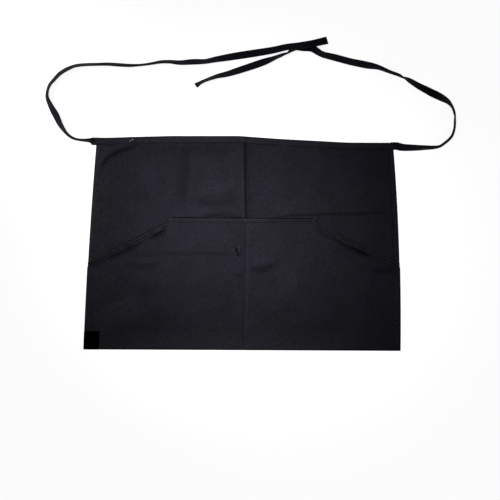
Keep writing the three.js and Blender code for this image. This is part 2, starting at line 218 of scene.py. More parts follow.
def signed_volume(points: Array, polygons: tuple[Array, ...]) -> float:
    """Volume inside the polygons by fans of triangles: a third of the corner dot the fan's area vector.

    Args:
        points: every point's place.
        polygons: arrays of point numbers, by number of corners.

    Returns:
        The volume, negative where the faces point inwards.
    """
    total = 0.0
    for corners in polygons:
        first = points[corners[:, :1]]
        b, c = points[corners[:, 1:-1]], points[corners[:, 2:]]
        total += float(np.sum(first * np.cross(b, c))) / 6
    return total


def mesh_piece(name: str, points: Array, *polygons: Array, marks: dict[str, Array] | None = None) -> Piece:
    """A piece from whole arrays, with its faces turned outwards.

    Args:
        name: the piece's name.
        points: every point's place, three numbers each.
        polygons: arrays of point numbers, one array for each number of corners.
        marks: values on the points, by name, that a finish reads; one number or three each.

    Returns:
        The new object, at the origin.
    """
    points = points.reshape(-1, 3)
    if signed_volume(points, polygons) < 0:
        polygons = tuple(corners[:, ::-1] for corners in polygons)
    mesh = bpy.data.meshes.new(name)
    mesh.vertices.add(len(points))
    mesh.vertices.foreach_set("co", points.astype(np.float32).ravel())
    corners = np.concatenate([block.ravel() for block in polygons])
    sizes = np.concatenate([np.full(len(block), block.shape[1]) for block in polygons])
    mesh.loops.add(len(corners))
    mesh.loops.foreach_set("vertex_index", corners.astype(np.int32))
    mesh.polygons.add(len(sizes))
    mesh.polygons.foreach_set("loop_start", (np.cumsum(sizes) - sizes).astype(np.int32))
    mesh.update(calc_edges=True)
    for mark, values in (marks or {}).items():
        vector = values.size == 3 * len(points)
        layer = mesh.attributes.new(mark, "FLOAT_VECTOR" if vector else "FLOAT", "POINT")
        layer.data.foreach_set("vector" if vector else "value", values.astype(np.float32).ravel())
    mesh.shade_smooth()
    mesh.set_sharp_from_angle(angle=SHARP_ANGLE)
    made = bpy.data.objects.new(name, mesh)
    bpy.context.scene.collection.objects.link(made)
    return made


def facing(middle: Array) -> Array:
    """Unit normals of a grid surface: the step along the columns cross the step along the rows.

    Args:
        middle: the grid, rows by columns by three.

    Returns:
        One normal for each point.
    """
    across = np.gradient(middle, axis=1)
    along = np.gradient(middle, axis=0)
    normal = np.cross(across, along)
    return normal / np.linalg.norm(normal, axis=-1, keepdims=True)


def cloth_piece(name: str, middle: Array, thickness: float, marks: dict[str, Array] | None = None) -> Piece:
    """A closed sheet: the middle surface plus and less half the thickness along its normal, closed by a rim.

    Args:
        name: the piece's name.
        middle: the grid of the middle surface, rows by columns by three.
        thickness: of the cloth.
        marks: values on the grid that the finish reads.

    Returns:
        The new object.
    """
    rows, columns = middle.shape[:2]
    off = facing(middle) * thickness / 2
    count = rows * columns
    front = lattice(rows, columns)
    number = np.arange(count).reshape(rows, columns)
    rim = np.concatenate([number[0, :-1], number[:-1, -1], number[-1, :0:-1], number[:0:-1, 0]])
    after = np.roll(rim, -1)
    edge = np.stack([rim + count, after + count, after, rim], axis=-1)
    points = np.concatenate([(middle + off).reshape(-1, 3), (middle - off).reshape(-1, 3)])
    both = {mark: np.concatenate([values.ravel(), values.ravel()]) for mark, values in (marks or {}).items()}
    return mesh_piece(name, points, np.concatenate([front, front[:, ::-1] + count, edge]), marks=both)


def tube_piece(name: str, rings: Array, marks: dict[str, Array] | None = None) -> Piece:
    """A closed body through rings of points that correspond, with a flat face at each end.

    Args:
        name: the piece's name.
        rings: rings by points by three.
        marks: values on the points that the finish reads.

    Returns:
        The new object.
    """
    count, size = rings.shape[:2]
    ends = np.stack([np.arange(size)[::-1], np.arange(size) + (count - 1) * size])
    return mesh_piece(name, rings, lattice(count, size, wrap=True), ends, marks=marks)


def smooth_curve(points: Array, at: Array) -> Array:
    """Centripetal Catmull-Rom curve: cubic pieces whose knots are spaced by the square root of the chord.

    Args:
        points: the points that it passes through, one row each.
        at: places on the curve, from 0 at the first point to 1 at the last.

    Returns:
        One row for each place.
    """
    ends = [2 * points[0] - points[1], *points, 2 * points[-1] - points[-2]]
    full = np.array(ends)
    turn = np.clip(at, 0, 1) * (len(points) - 1)
    piece = np.minimum(turn.astype(int), len(points) - 2)
    t = (turn - piece)[:, None]
    p0, p1, p2, p3 = (full[piece + k] for k in range(4))
    chords = (p1 - p0, p2 - p1, p3 - p2)
    d0, d1, d2 = (np.sqrt(np.linalg.norm(chord, axis=1, keepdims=True)) for chord in chords)
    leave = ((p1 - p0) / d0 - (p2 - p0) / (d0 + d1) + (p2 - p1) / d1) * d1
    reach = ((p2 - p1) / d1 - (p3 - p1) / (d1 + d2) + (p3 - p2) / d2) * d1
    cubic = 2 * (p1 - p2) + leave + reach
    square = 3 * (p2 - p1) - 2 * leave - reach
    return ((cubic * t + square) * t + leave) * t + p1


def run_length(points: Array) -> Array:
    """Distance travelled from the first point to each point of a polyline."""
    return np.concatenate([[0], np.cumsum(np.linalg.norm(np.diff(points, axis=0), axis=1))])


def resample(points: Array, places: Array) -> Array:
    """Points of a polyline at the given distances from its start, column by column."""
    run = run_length(points)
    return np.stack([np.interp(places, run, column) for column in points.T], axis=-1)


class Profile(Enum):
    """The cross-section of a crease."""

    CREST = "a sharp line with hollow flanks"
    ROUND = "a soft swell"


@dataclass(frozen=True)
class Crease:
    """A ridge or, with a negative height, a valley along a line on the laid cloth.

    Attributes:
        name: what it is, in words.
        line: the points that it follows.
        height: at its middle.
        left: how far its flank reaches to the left of its direction.
        right: how far its flank reaches to the right.
        profile: the shape of the flanks.
        fade: share of its length over which each end runs out.
    """

    name: str
    line: tuple[tuple[float, float], ...]
    height: float
    left: float
    right: float
    profile: Profile = Profile.ROUND
    fade: float = 0.25

    def rise(self, x: Array, y: Array) -> Array:
        """Height at places, from the distance to the line as a share of the flank on that side.

        Args:
            x: of the places.
            y: of the places.

        Returns:
            The height: for a crest (1 - r) squared, for a round one (1 - r squared) squared.
        """
        points = np.array(self.line)
        run = run_length(points)
        nearest = np.full(np.shape(x), np.inf)
        right_of = np.zeros(np.shape(x))
        along = np.zeros(np.shape(x))
        for (x0, y0), (x1, y1), start, stop in zip(points[:-1], points[1:], run[:-1], run[1:]):
            step = stop - start
            dx, dy = (x1 - x0) / step, (y1 - y0) / step
            travelled = np.clip((x - x0) * dx + (y - y0) * dy, 0, step)
            distance = np.hypot(x - x0 - travelled * dx, y - y0 - travelled * dy)
            nearer = distance < nearest
            nearest = np.where(nearer, distance, nearest)
            right_of = np.where(nearer, (x - x0) * dy - (y - y0) * dx, right_of)
            along = np.where(nearer, (start + travelled) / run[-1], along)
        share = np.clip(nearest / np.where(right_of > 0, self.right, self.left), 0, 1)
        shape = (1 - share) ** 2 if self.profile is Profile.CREST else (1 - share**2) ** 2
        ends = ease(along / self.fade) * ease((1 - along) / self.fade) if self.fade else 1
        return self.height * shape * ends


def relief(creases: tuple[Crease, ...], x: Array, y: Array) -> Array:
    """Sum of the creases' heights at places."""
    return sum((crease.rise(x, y) for crease in creases), np.zeros(np.shape(x)))


def ripple(
    x: Array, y: Array, height: float, shortest: float, longest: float, seed: int, waves: int = 14
) -> Array:
    """Gentle unevenness: a sum of sine waves in mixed directions, the longer ones higher.

    Args:
        x: of the places.
        y: of the places.
        height: about how far it goes up and down.
        shortest: wavelength.
        longest: wavelength.
        seed: chooses the directions and phases.
        waves: how many are summed.

    Returns:
        The height at each place.
    """
    draw = np.random.default_rng(seed)
    total = np.zeros(np.shape(x))
    for _ in range(waves):
        wavelength = draw.uniform(shortest, longest)
        heading, phase = draw.uniform(0, 2 * math.pi, 2)
        travel = x * math.cos(heading) + y * math.sin(heading)
        total += wavelength / longest * np.sin(2 * math.pi * travel / wavelength + phase)
    return total * height / math.sqrt(waves)


BODY_CREASES = (
    Crease(
        "centre crease",
        ((0.0040, 0.2440), (0.0049, 0.1650), (0.0058, 0.0600)),
        0.0034,
        0.0130,
        0.0042,
        Profile.CREST,
        0,
    ),
    Crease(
        "right level crease",
        ((0.0520, 0.0590), (0.1080, 0.0635), (0.1620, 0.0665), (0.2430, 0.0680), (0.3300, 0.0690)),
        0.0036,
        0.0200,
        0.0045,
        fade=0.15,
    ),
    Crease(
        "left slit",
        ((-0.156, 0.059), (-0.11, 0.0592), (-0.07, 0.059)),
        0.0026, 0.008, 0.0026, Profile.CREST, 0.2,
    ),
    Crease(
        "middle slit",
        ((-0.056, 0.059), (-0.025, 0.0589), (0.003, 0.0587)),
        0.0024, 0.008, 0.0026, Profile.CREST, 0.2,
    ),
    Crease(
        "right slit",
        ((0.05, 0.058), (0.11, 0.0575), (0.156, 0.057)),
        0.0022, 0.008, 0.0026, Profile.CREST, 0.3,
    ),
    Crease(
        "left short crease",
        ((-0.344, 0.077), (-0.333, 0.0765), (-0.308, 0.077)),
        0.0022, 0.01, 0.005, fade=0.4,
    ),
    Crease(
        "left wedge",
        ((-0.098, 0.064), (-0.05, 0.0655), (0.0, 0.059)),
        0.0057, 0.013, 0.005, fade=0.3,
    ),
    Crease(
        "upright valley",
        ((-0.1290, 0.2150), (-0.1240, 0.1650), (-0.1280, 0.1100), (-0.1200, 0.0800)),
        -0.0046,
        0.020,
        0.026,
    ),
    Crease("level valley", ((-0.11, 0.09), (-0.06, 0.095), (0.002, 0.106)), -0.0051, 0.02, 0.016),
    Crease(
        "corner arc",
        ((-0.3260, 0.1560), (-0.3170, 0.1820), (-0.3000, 0.2010), (-0.2750, 0.2130), (-0.2300, 0.2240)),
        0.0068,
        0.016,
        0.0085,
        fade=0.3,
    ),
    Crease("upper left swell", ((-0.26, 0.13), (-0.17, 0.15)), 0.0042, 0.06, 0.05),
    Crease("right upper swell", ((0.23, 0.16), (0.28, 0.1)), 0.0038, 0.06, 0.06),
)

POCKET_CREASES = (
    Crease(
        "level crease",
        ((-0.263, -0.021), (-0.15, -0.02), (-0.009, -0.0215)),
        0.0034, 0.009, 0.006, fade=0.2,
    ),
    Crease(
        "hook at the seam",
        ((-0.013, -0.003), (-0.005, -0.012), (-0.011, -0.029)),
        0.0026, 0.008, 0.007,
    ),
    Crease("lower hook", ((-0.015, -0.069), (-0.006, -0.074), (0.001, -0.071)), 0.0018, 0.008, 0.007),
    Crease("right hollow's rim", ((0.02, -0.052), (0.05, -0.049), (0.086, -0.043)), 0.004, 0.02, 0.024),
    Crease("light slant", ((0.1, -0.131), (0.082, -0.142), (0.066, -0.155)), 0.0014, 0.007, 0.007),
    Crease(
        "under the left corner",
        ((-0.212, 0.015), (-0.19, 0.027), (-0.168, 0.036)),
        0.0034, 0.014, 0.022,
    ),
    Crease(
        "under the left mouth",
        ((-0.32, -0.024), (-0.285, -0.013), (-0.25, -0.003)),
        0.0069, 0.014, 0.02,
    ),
    Crease(
        "low under the left mouth",
        ((-0.238, -0.043), (-0.21, -0.044), (-0.19, -0.046)),
        0.0029, 0.01, 0.009,
    ),
    Crease(
        "under the right mouth",
        ((0.205, 0.01), (0.24, -0.004), (0.28, -0.016)),
        0.0073, 0.014, 0.018,
    ),
    Crease(
        "right of the right mouth",
        ((0.285, -0.056), (0.315, -0.059), (0.342, -0.061)),
        0.004, 0.01, 0.01,
    ),
    Crease(
        "low left streak",
        ((-0.193, -0.12), (-0.195, -0.175), (-0.192, -0.215)),
        0.0034, 0.014, 0.014,
    ),
    Crease("low middle swell", ((-0.11, -0.125), (-0.03, -0.15)), 0.0034, 0.05, 0.05),
    Crease("low right swell", ((0.13, -0.17), (0.23, -0.14)), 0.0034, 0.05, 0.05),
)


# Painted shade on the cloth or, above zero, painted light: the height is the change in its
# wear_and_painted_light mark.
BODY_PAINTED_SHADING = (
    Crease(
        "corner arc",
        ((-0.322, 0.158), (-0.312, 0.18), (-0.296, 0.197), (-0.272, 0.209), (-0.235, 0.219)),
        -0.42, 0.009, 0.013,
    ),
    Crease(
        "upright valley",
        ((-0.128, 0.225), (-0.124, 0.165), (-0.131, 0.11), (-0.134, 0.078)),
        -0.3, 0.018, 0.018,
    ),
    Crease("beside the valley", ((-0.112, 0.108), (-0.114, 0.08)), -0.22, 0.008, 0.008),
    Crease(
        "level valley",
        ((-0.11, 0.088), (-0.06, 0.092), (-0.03, 0.094), (0.004, 0.103)),
        -0.32, 0.012, 0.014,
    ),
    Crease("paler shelf", ((-0.115, 0.112), (-0.05, 0.12), (0.0, 0.15)), 0.3, 0.02, 0.016),
    Crease("wedge", ((-0.1, 0.064), (-0.05, 0.066), (0.0, 0.06)), -0.3, 0.006, 0.006),
    Crease(
        "right level crease",
        ((0.052, 0.0585), (0.162, 0.066), (0.243, 0.0675), (0.335, 0.0685)),
        -0.4, 0.0045, 0.003,
    ),
    Crease("paler right middle", ((0.06, 0.09), (0.16, 0.085)), 0.16, 0.05, 0.03),
    Crease("under the band", ((-0.22, 0.214), (0.0, 0.212)), -0.2, 0.01, 0.022),
    Crease("left notch", ((-0.35, 0.077), (-0.34, 0.0765), (-0.325, 0.077)), -0.5, 0.004, 0.004),
)

POCKET_PAINTED_SHADING = (
    Crease("under the left corner", ((-0.215, 0.012), (-0.19, 0.022), (-0.17, 0.03)), -0.34, 0.01, 0.014),
    Crease(
        "under the left mouth",
        ((-0.335, -0.034), (-0.3, -0.022), (-0.255, -0.012), (-0.225, -0.018)),
        -0.4, 0.012, 0.014,
    ),
    Crease("level crease", ((-0.263, -0.02), (-0.15, -0.0185), (-0.009, -0.021)), -0.2, 0.004, 0.008),
    Crease(
        "low under the left mouth",
        ((-0.275, -0.046), (-0.23, -0.052), (-0.18, -0.05)),
        -0.26, 0.012, 0.014,
    ),
    Crease("under the right mouth", ((0.205, 0.006), (0.245, -0.008), (0.3, -0.03)), -0.42, 0.01, 0.016),
    Crease(
        "right of the right mouth",
        ((0.285, -0.062), (0.315, -0.06), (0.345, -0.062)),
        -0.34, 0.012, 0.012,
    ),
    Crease(
        "pale hook",
        ((-0.011, -0.004), (-0.005, -0.012), (-0.008, -0.023), (-0.002, -0.029)),
        0.75, 0.003, 0.003,
    ),
    Crease("dark hook", ((-0.015, -0.006), (-0.011, -0.019), (-0.006, -0.031)), -1.5, 0.005, 0.003),
    Crease("lower hook", ((-0.018, -0.07), (-0.008, -0.073), (0.001, -0.07)), -0.6, 0.007, 0.005),
    Crease("right hollow", ((0.012, -0.056), (0.045, -0.057), (0.078, -0.043)), -0.52, 0.008, 0.015),
    Crease("paler right rim", ((0.02, -0.038), (0.06, -0.036)), 0.2, 0.016, 0.012),
    Crease("pale slant", ((0.098, -0.133), (0.082, -0.142), (0.066, -0.155)), 0.3, 0.006, 0.006),
    Crease("low left streak", ((-0.196, -0.12), (-0.198, -0.17), (-0.194, -0.215)), -0.22, 0.014, 0.014),
    Crease("level band", ((-0.26, -0.105), (-0.1, -0.11), (0.0, -0.105)), -0.14, 0.03, 0.03),
    Crease("paler middle right", ((0.07, -0.085), (0.13, -0.08)), 0.34, 0.05, 0.05),
    Crease("paler low middle", ((-0.15, -0.19), (0.11, -0.19)), 0.16, 0.04, 0.04),
    Crease("paler low left", ((-0.3, -0.13), (-0.27, -0.19)), 0.74, 0.08, 0.085),
    Crease("low arc", ((-0.05, -0.218), (0.01, -0.228), (0.05, -0.214)), 0.14, 0.01, 0.008),
)


@dataclass(frozen=True)
class Laid:
    """The laid apron's outline, and how high its layers lie on it.

    Attributes:
        hem_width: of the bottom edge.
        waist_width: of the waistband.
        waist_shift: how far the waistband's middle lies to the right of the bottom edge's.
        length: from the bottom edge to the waistband.
        hem_drop: how much lower the bottom edge ends on the right.
        left_bow: how far the left side curves out.
        right_bow: how far the right side curves out.
        layer: height of one layer of cloth.
        gap: clearance between layers.
        side_hem: width of the side hems.
        bottom_hem: width of the bottom hem.
        waistband: depth of the waistband.
        hem_ease: the cloth comes down from a hem over this distance.
        swell: how far the middle stands off the surface.
        loose: how much further the unseamed cloth lies off it, wrinkled.
        pocket_top_width: of the pocket's straight opening.
        pocket_top: height of that opening above the bottom edge.
        pocket_side: height at which the slanted openings reach the sides.
        pocket_hem: depth of the straight hem.
        mouth_hem: width of the slanted hems.
        pocket_overhang: how far the pocket's side edges stand outside the body's.
        pouch: how far the open pocket stands off the body.
        pouch_side: the pocket is fully off the body this far from its side seams.
        pouch_low: the same from the bottom edge.
        pouch_centre: the same from the dividing seam.
        seam_slack: the share of the pouch left over the dividing seam.
        divider_shift: how far the dividing seam lies to the right of the middle.
    """

    hem_width: float = 0.711
    waist_width: float = 0.666
    waist_shift: float = 0.0065
    length: float = 0.480
    hem_drop: float = 0.0034
    left_bow: float = 0.0027
    right_bow: float = 0.0055
    layer: float = 0.001
    gap: float = 0.0003
    side_hem: float = 0.0125
    bottom_hem: float = 0.025
    waistband: float = 0.0165
    hem_ease: float = 0.014
    swell: float = 0.00065
    loose: float = 0.0042
    pocket_top_width: float = 0.322
    pocket_top: float = 0.296
    pocket_side: float = 0.198
    pocket_hem: float = 0.0095
    mouth_hem: float = 0.0105
    pocket_overhang: float = 0.0012
    pouch: float = 0.0022
    pouch_side: float = 0.092
    pouch_low: float = 0.105
    pouch_centre: float = 0.050
    seam_slack: float = 0.15
    divider_shift: float = 0.0028

    def left_edge(self, v: Array) -> Array:
        """x of the left side: straight from hem to waist, plus a parabola that is zero at both ends."""
        top = self.waist_shift - self.waist_width / 2
        return -self.hem_width / 2 * (1 - v) + top * v - self.left_bow * 4 * v * (1 - v)

    def right_edge(self, v: Array) -> Array:
        """x of the right side, in the same way."""
        top = self.waist_shift + self.waist_width / 2
        return self.hem_width / 2 * (1 - v) + top * v + self.right_bow * 4 * v * (1 - v)

    def place(self, u: Array, v: Array) -> tuple[Array, Array]:
        """Place of the shares u and v: straight between the edges, the waistline's dips fading as v cubed.

        Args:
            u: share of the width.
            v: share of the length.

        Returns:
            x and y.
        """
        x = self.left_edge(v) * (1 - u) + self.right_edge(v) * u
        across, rise = np.array(WAISTLINE).T
        low = -self.length / 2 - self.hem_drop * (u - 0.5)
        dips = self.length * np.interp(u, across, rise)
        return x, low * (1 - v) + self.length / 2 * v + dips * v**3

    def corners(self) -> tuple[float, float]:
        """Shares of the width at the two ends of the pocket's straight opening.

        Returns:
            The left end's share and the right end's.
        """
        v = self.pocket_top / self.length
        left, wide = self.left_edge(v), self.right_edge(v) - self.left_edge(v)
        return (-self.pocket_top_width / 2 - left) / wide, (self.pocket_top_width / 2 - left) / wide

    def divider(self) -> float:
        """Share of the width at which the pocket is divided."""
        return 0.5 + self.divider_shift / self.hem_width

    def outward(self, u: Array) -> Array:
        """How far out a place is from a corner of the straight opening (0) towards the side (1)."""
        left, right = self.corners()
        return np.clip(np.maximum(1 - u / left, 1 - (1 - u) / (1 - right)), 0, 1)

    def pocket_edge(self, u: Array) -> Array:
        """Share of the length at which the pocket's upper edge runs.

        Args:
            u: share of the width.

        Returns:
            The share of the length.
        """
        out, fall = np.array(MOUTH_LINE).T
        down = np.interp(self.outward(u), out, fall)
        return (self.pocket_top * (1 - down) + self.pocket_side * down) / self.length

    def hem_depth(self, u: Array) -> Array:
        """How far the pocket's hem reaches down; a slanted hem is as wide square to its own edge.

        Args:
            u: share of the width.

        Returns:
            The depth as a share of the length.
        """
        left, right = self.corners()
        run = np.where(u < 0.5, left, 1 - right) * self.hem_width
        slanted = self.mouth_hem * np.hypot(run, self.pocket_top - self.pocket_side) / run
        share = np.minimum(1, self.outward(u) / MOUTH_LINE[1][0])
        return (self.pocket_hem * (1 - share) + slanted * share) / self.length

    def side_distance(self, u: Array) -> Array:
        """Distance in from the nearer side."""
        return np.minimum(u, 1 - u) * self.hem_width

    def seam_share(self, u: Array, v: Array) -> Array:
        """1 on the hems and under the waistband, falling to 0 over the ease.

        Args:
            u: share of the width.
            v: share of the length.

        Returns:
            The share at each place.
        """
        side = fading(self.side_distance(u), self.side_hem, self.side_hem + self.hem_ease)
        low = fading(v * self.length, self.bottom_hem, self.bottom_hem + self.hem_ease)
        high = fading((1 - v) * self.length, self.waistband, self.waistband + self.hem_ease)
        return np.maximum(np.maximum(side, low), high)

    def free_share(self, u: Array, v: Array) -> Array:
        """How far the pocket is off the body: 0 at its seams, 1 in its open middle.

        Args:
            u: share of the width.
            v: share of the length.

        Returns:
            The share at each place.
        """
        side = ease((self.side_distance(u) - self.side_hem) / (self.pouch_side - self.side_hem))
        low = ease((v * self.length - self.bottom_hem) / (self.pouch_low - self.bottom_hem))
        centre = ease(np.abs(u - self.divider()) * self.hem_width / self.pouch_centre)
        return side * low * (self.seam_slack + (1 - self.seam_slack) * centre)

    def body_under(self, u: Array, v: Array) -> Array:
        """Height of the body cloth's underside without its creases.

        Args:
            u: share of the width.
            v: share of the length.

        Returns:
            The height at each place.
        """
        seam = self.seam_share(u, v)
        swell = self.swell * np.sin(math.pi * np.clip(u, 0, 1)) ** 2
        return seam * (self.layer + self.gap) + (1 - seam) * swell

    def body_middle(self, u: Array, v: Array) -> Array:
        """Height of the body cloth's middle: the creases show above the pocket and die out on the hems.

        Args:
            u: share of the width.
            v: share of the length.

        Returns:
            The height at each place.
        """
        x, y = self.place(u, v)
        side, top = self.side_distance(u), (1 - v) * self.length
        inside = ease((side - self.side_hem / 2) / self.hem_ease)
        loose = self.loose * ease(side / 0.09) * ease((top - self.waistband) / 0.06)
        clear = ease((v - self.pocket_edge(u)) * self.length / 0.0016)
        folds = relief(BODY_CREASES, x, y) + ripple(x, y, 0.0010, 0.025, 0.10, seed=3)
        return self.body_under(u, v) + self.layer / 2 + inside * clear * np.maximum(loose + folds, -0.0004)

    def pocket_under(self, u: Array, v: Array) -> Array:
        """Height of the pocket cloth's underside with its creases, which die out on the hems.

        Args:
            u: share of the width.
            v: share of the length.

        Returns:
            The height at each place.
        """
        x, y = self.place(u, v)
        side = self.side_distance(u)
        inside = ease((side - self.side_hem / 2) / self.hem_ease)
        loose = 0.6 * self.loose * ease(side / 0.09)
        low = ease(v * self.length / self.pouch_low)
        folds = relief(POCKET_CREASES, x, y) + ripple(x, y, 0.0009, 0.025, 0.10, seed=8)
        stand = self.layer + self.gap + self.pouch * self.free_share(u, v)
        return self.body_under(u, v) + stand + inside * low * np.maximum(loose + folds, -0.0003)

    def pocket_place(self, u: Array, v: Array) -> tuple[Array, Array]:
        """The pocket's own place: its side edges stand a little outside the body's.

        Args:
            u: share of the width.
            v: share of the length.

        Returns:
            x and y.
        """
        x, y = self.place(u, v)
        right = fading((1 - u) * self.hem_width, 0, self.side_hem)
        left = fading(u * self.hem_width, 0, self.side_hem)
        return x + self.pocket_overhang * (right - left), y

    def columns(self, middle: float) -> Array:
        """Shares across the width, finer at the sides' edges and seams and at a middle seam or crease.

        Args:
            middle: share of the width at the middle seam or crease.

        Returns:
            The shares, from the left side to the right.
        """
        wide = self.hem_width
        at = middle * wide
        fine = 0.010
        return (
            stations(
                (0, 1),
                (0.001, 0.00026),
                (0.017, 0.0012),
                (at - fine, 0.0034),
                (at + fine, 0.00065),
                (wide - 0.017, 0.0034),
                (wide - 0.001, 0.0012),
                (wide, 0.00026),
            )
            / wide
        )


LAID = Laid()


def curl(side: Array, low: Array, radius: float) -> Array:
    """How far a folded edge has turned down: a quarter circle's drop, with a round corner where two meet.

    Args:
        side: distance in from the nearer side.
        low: distance in from the bottom edge.
        radius: of the turn.

    Returns:
        The drop, up to the radius.
    """
    out = np.hypot(np.maximum(0, radius - side), np.maximum(0, radius - low))
    return radius - np.sqrt(np.maximum(0, radius**2 - np.minimum(out, radius) ** 2))


def bell(distance: Array, half: float) -> Array:
    """1 at the line, falling on both sides: e to the power of minus the squared share of the half-width."""
    return np.exp(-((distance / half) ** 2))


def groove(distance: Array, depth: float = 0.00045, half: float = 0.0016) -> Array:
    """The dip that a row of stitches pulls into the cloth: a bell curve of the distance from the row."""
    return -depth * np.exp(-((distance / half) ** 2))


@dataclass
class Recipe:
    """A material under construction, with short ways to add nodes to it.

    Attributes:
        name: of the material.
    """

    name: str
    material: bpy.types.Material = field(init=False)

    def __post_init__(self) -> None:
        """Starts an empty node tree."""
        self.material = bpy.data.materials.new(self.name)
        self.material.use_nodes = True
        self.material.node_tree.nodes.clear()

    def node(self, kind: str, inputs: Inputs | None = None, **settings: object) -> bpy.types.Node:
        """Adds a node.

        Args:
            kind: the node's type name.
            inputs: a value or another node's output for each input, by name or number.
            settings: the node's own properties.

        Returns:
            The node.
        """
        made = self.material.node_tree.nodes.new(kind)
        for name, value in settings.items():
            setattr(made, name, value)
        for socket, value in (inputs or {}).items():
            if isinstance(value, bpy.types.NodeSocket):
                self.material.node_tree.links.new(value, made.inputs[socket])
            else:
                made.inputs[socket].default_value = value
        return made

    def math(self, operation: str, a: Socket | float, b: Socket | float = 0.0) -> Socket:
        """One sum on numbers."""
        return self.node("ShaderNodeMath", {0: a, 1: b}, operation=operation).outputs[0]

    def add(self, a: Socket | float, b: Socket | float) -> Socket:
        """Two numbers added."""
        return self.math("ADD", a, b)

    def times(self, a: Socket | float, b: Socket | float) -> Socket:
        """Two numbers multiplied."""
        return self.math("MULTIPLY", a, b)

    def scaled(self, place: Socket, scale: Place) -> Socket:
        """A place with each direction multiplied."""
        return self.node("ShaderNodeMapping", {"Vector": place, "Scale": scale}).outputs[0]

    def noise(self, place: Socket, scale: float, detail: float = 2.0) -> Socket:
        """Soft noise about 0.5 at a number of blobs to the metre."""
        return self.node("ShaderNodeTexNoise", {"Vector": place, "Scale": scale, "Detail": detail}).outputs[0]

    def thread(self, place: Socket, heading: Place, pitch: float) -> Socket:
        """Ridges square to a heading: the sine of the distance along it, a full turn to each pitch.

        Args:
            place: where it is read.
            heading: direction from one ridge to the next.
            pitch: from ridge to ridge.

        Returns:
            A number from -1 to 1.
        """
        across = tuple(2 * math.pi * part / pitch for part in heading)
        product = self.node("ShaderNodeVectorMath", {0: place, 1: across}, operation="DOT_PRODUCT")
        return self.math("SINE", product.outputs["Value"])

    def blend(self, share: Socket | float, a: object, b: object) -> Socket:
        """A colour between two."""
        inputs = {0: share, 6: a, 7: b}
        return self.node("ShaderNodeMix", inputs, data_type="RGBA", clamp_factor=True).outputs[2]

    def tinted(self, colour: Socket, tint: Socket) -> Socket:
        """A colour multiplied by another."""
        inputs = {0: 1.0, 6: colour, 7: tint}
        return self.node("ShaderNodeMix", inputs, data_type="RGBA", blend_type="MULTIPLY").outputs[2]

    def about(self, noise: Socket, reach: float) -> Socket:
        """Soft noise stretched from minus to plus its reach."""
        return self.spread(noise, 0.3, 0.7, -reach, reach)

    def spread(
        self, value: Socket, low: float, high: float, to_low: float = 0.0, to_high: float = 1.0
    ) -> Socket:
        """A number's range stretched to another and held inside it."""
        inputs = {0: value, 1: low, 2: high, 3: to_low, 4: to_high}
        return self.node("ShaderNodeMapRange", inputs, clamp=True).outputs[0]

    def finish(self, inputs: Inputs) -> bpy.types.Material:
        """Ends the tree in one shader with these inputs.

        Args:
            inputs: the shader's inputs.

        Returns:
            The material.
        """
        shader = self.node("ShaderNodeBsdfPrincipled", inputs)
        self.node("ShaderNodeOutputMaterial", {0: shader.outputs[0]})
        return self.material


class Weave(Enum):
    """What a woven pattern follows."""

    LAID = "the laid cloth's own directions"
    RIBBON = "the run of a ribbon"


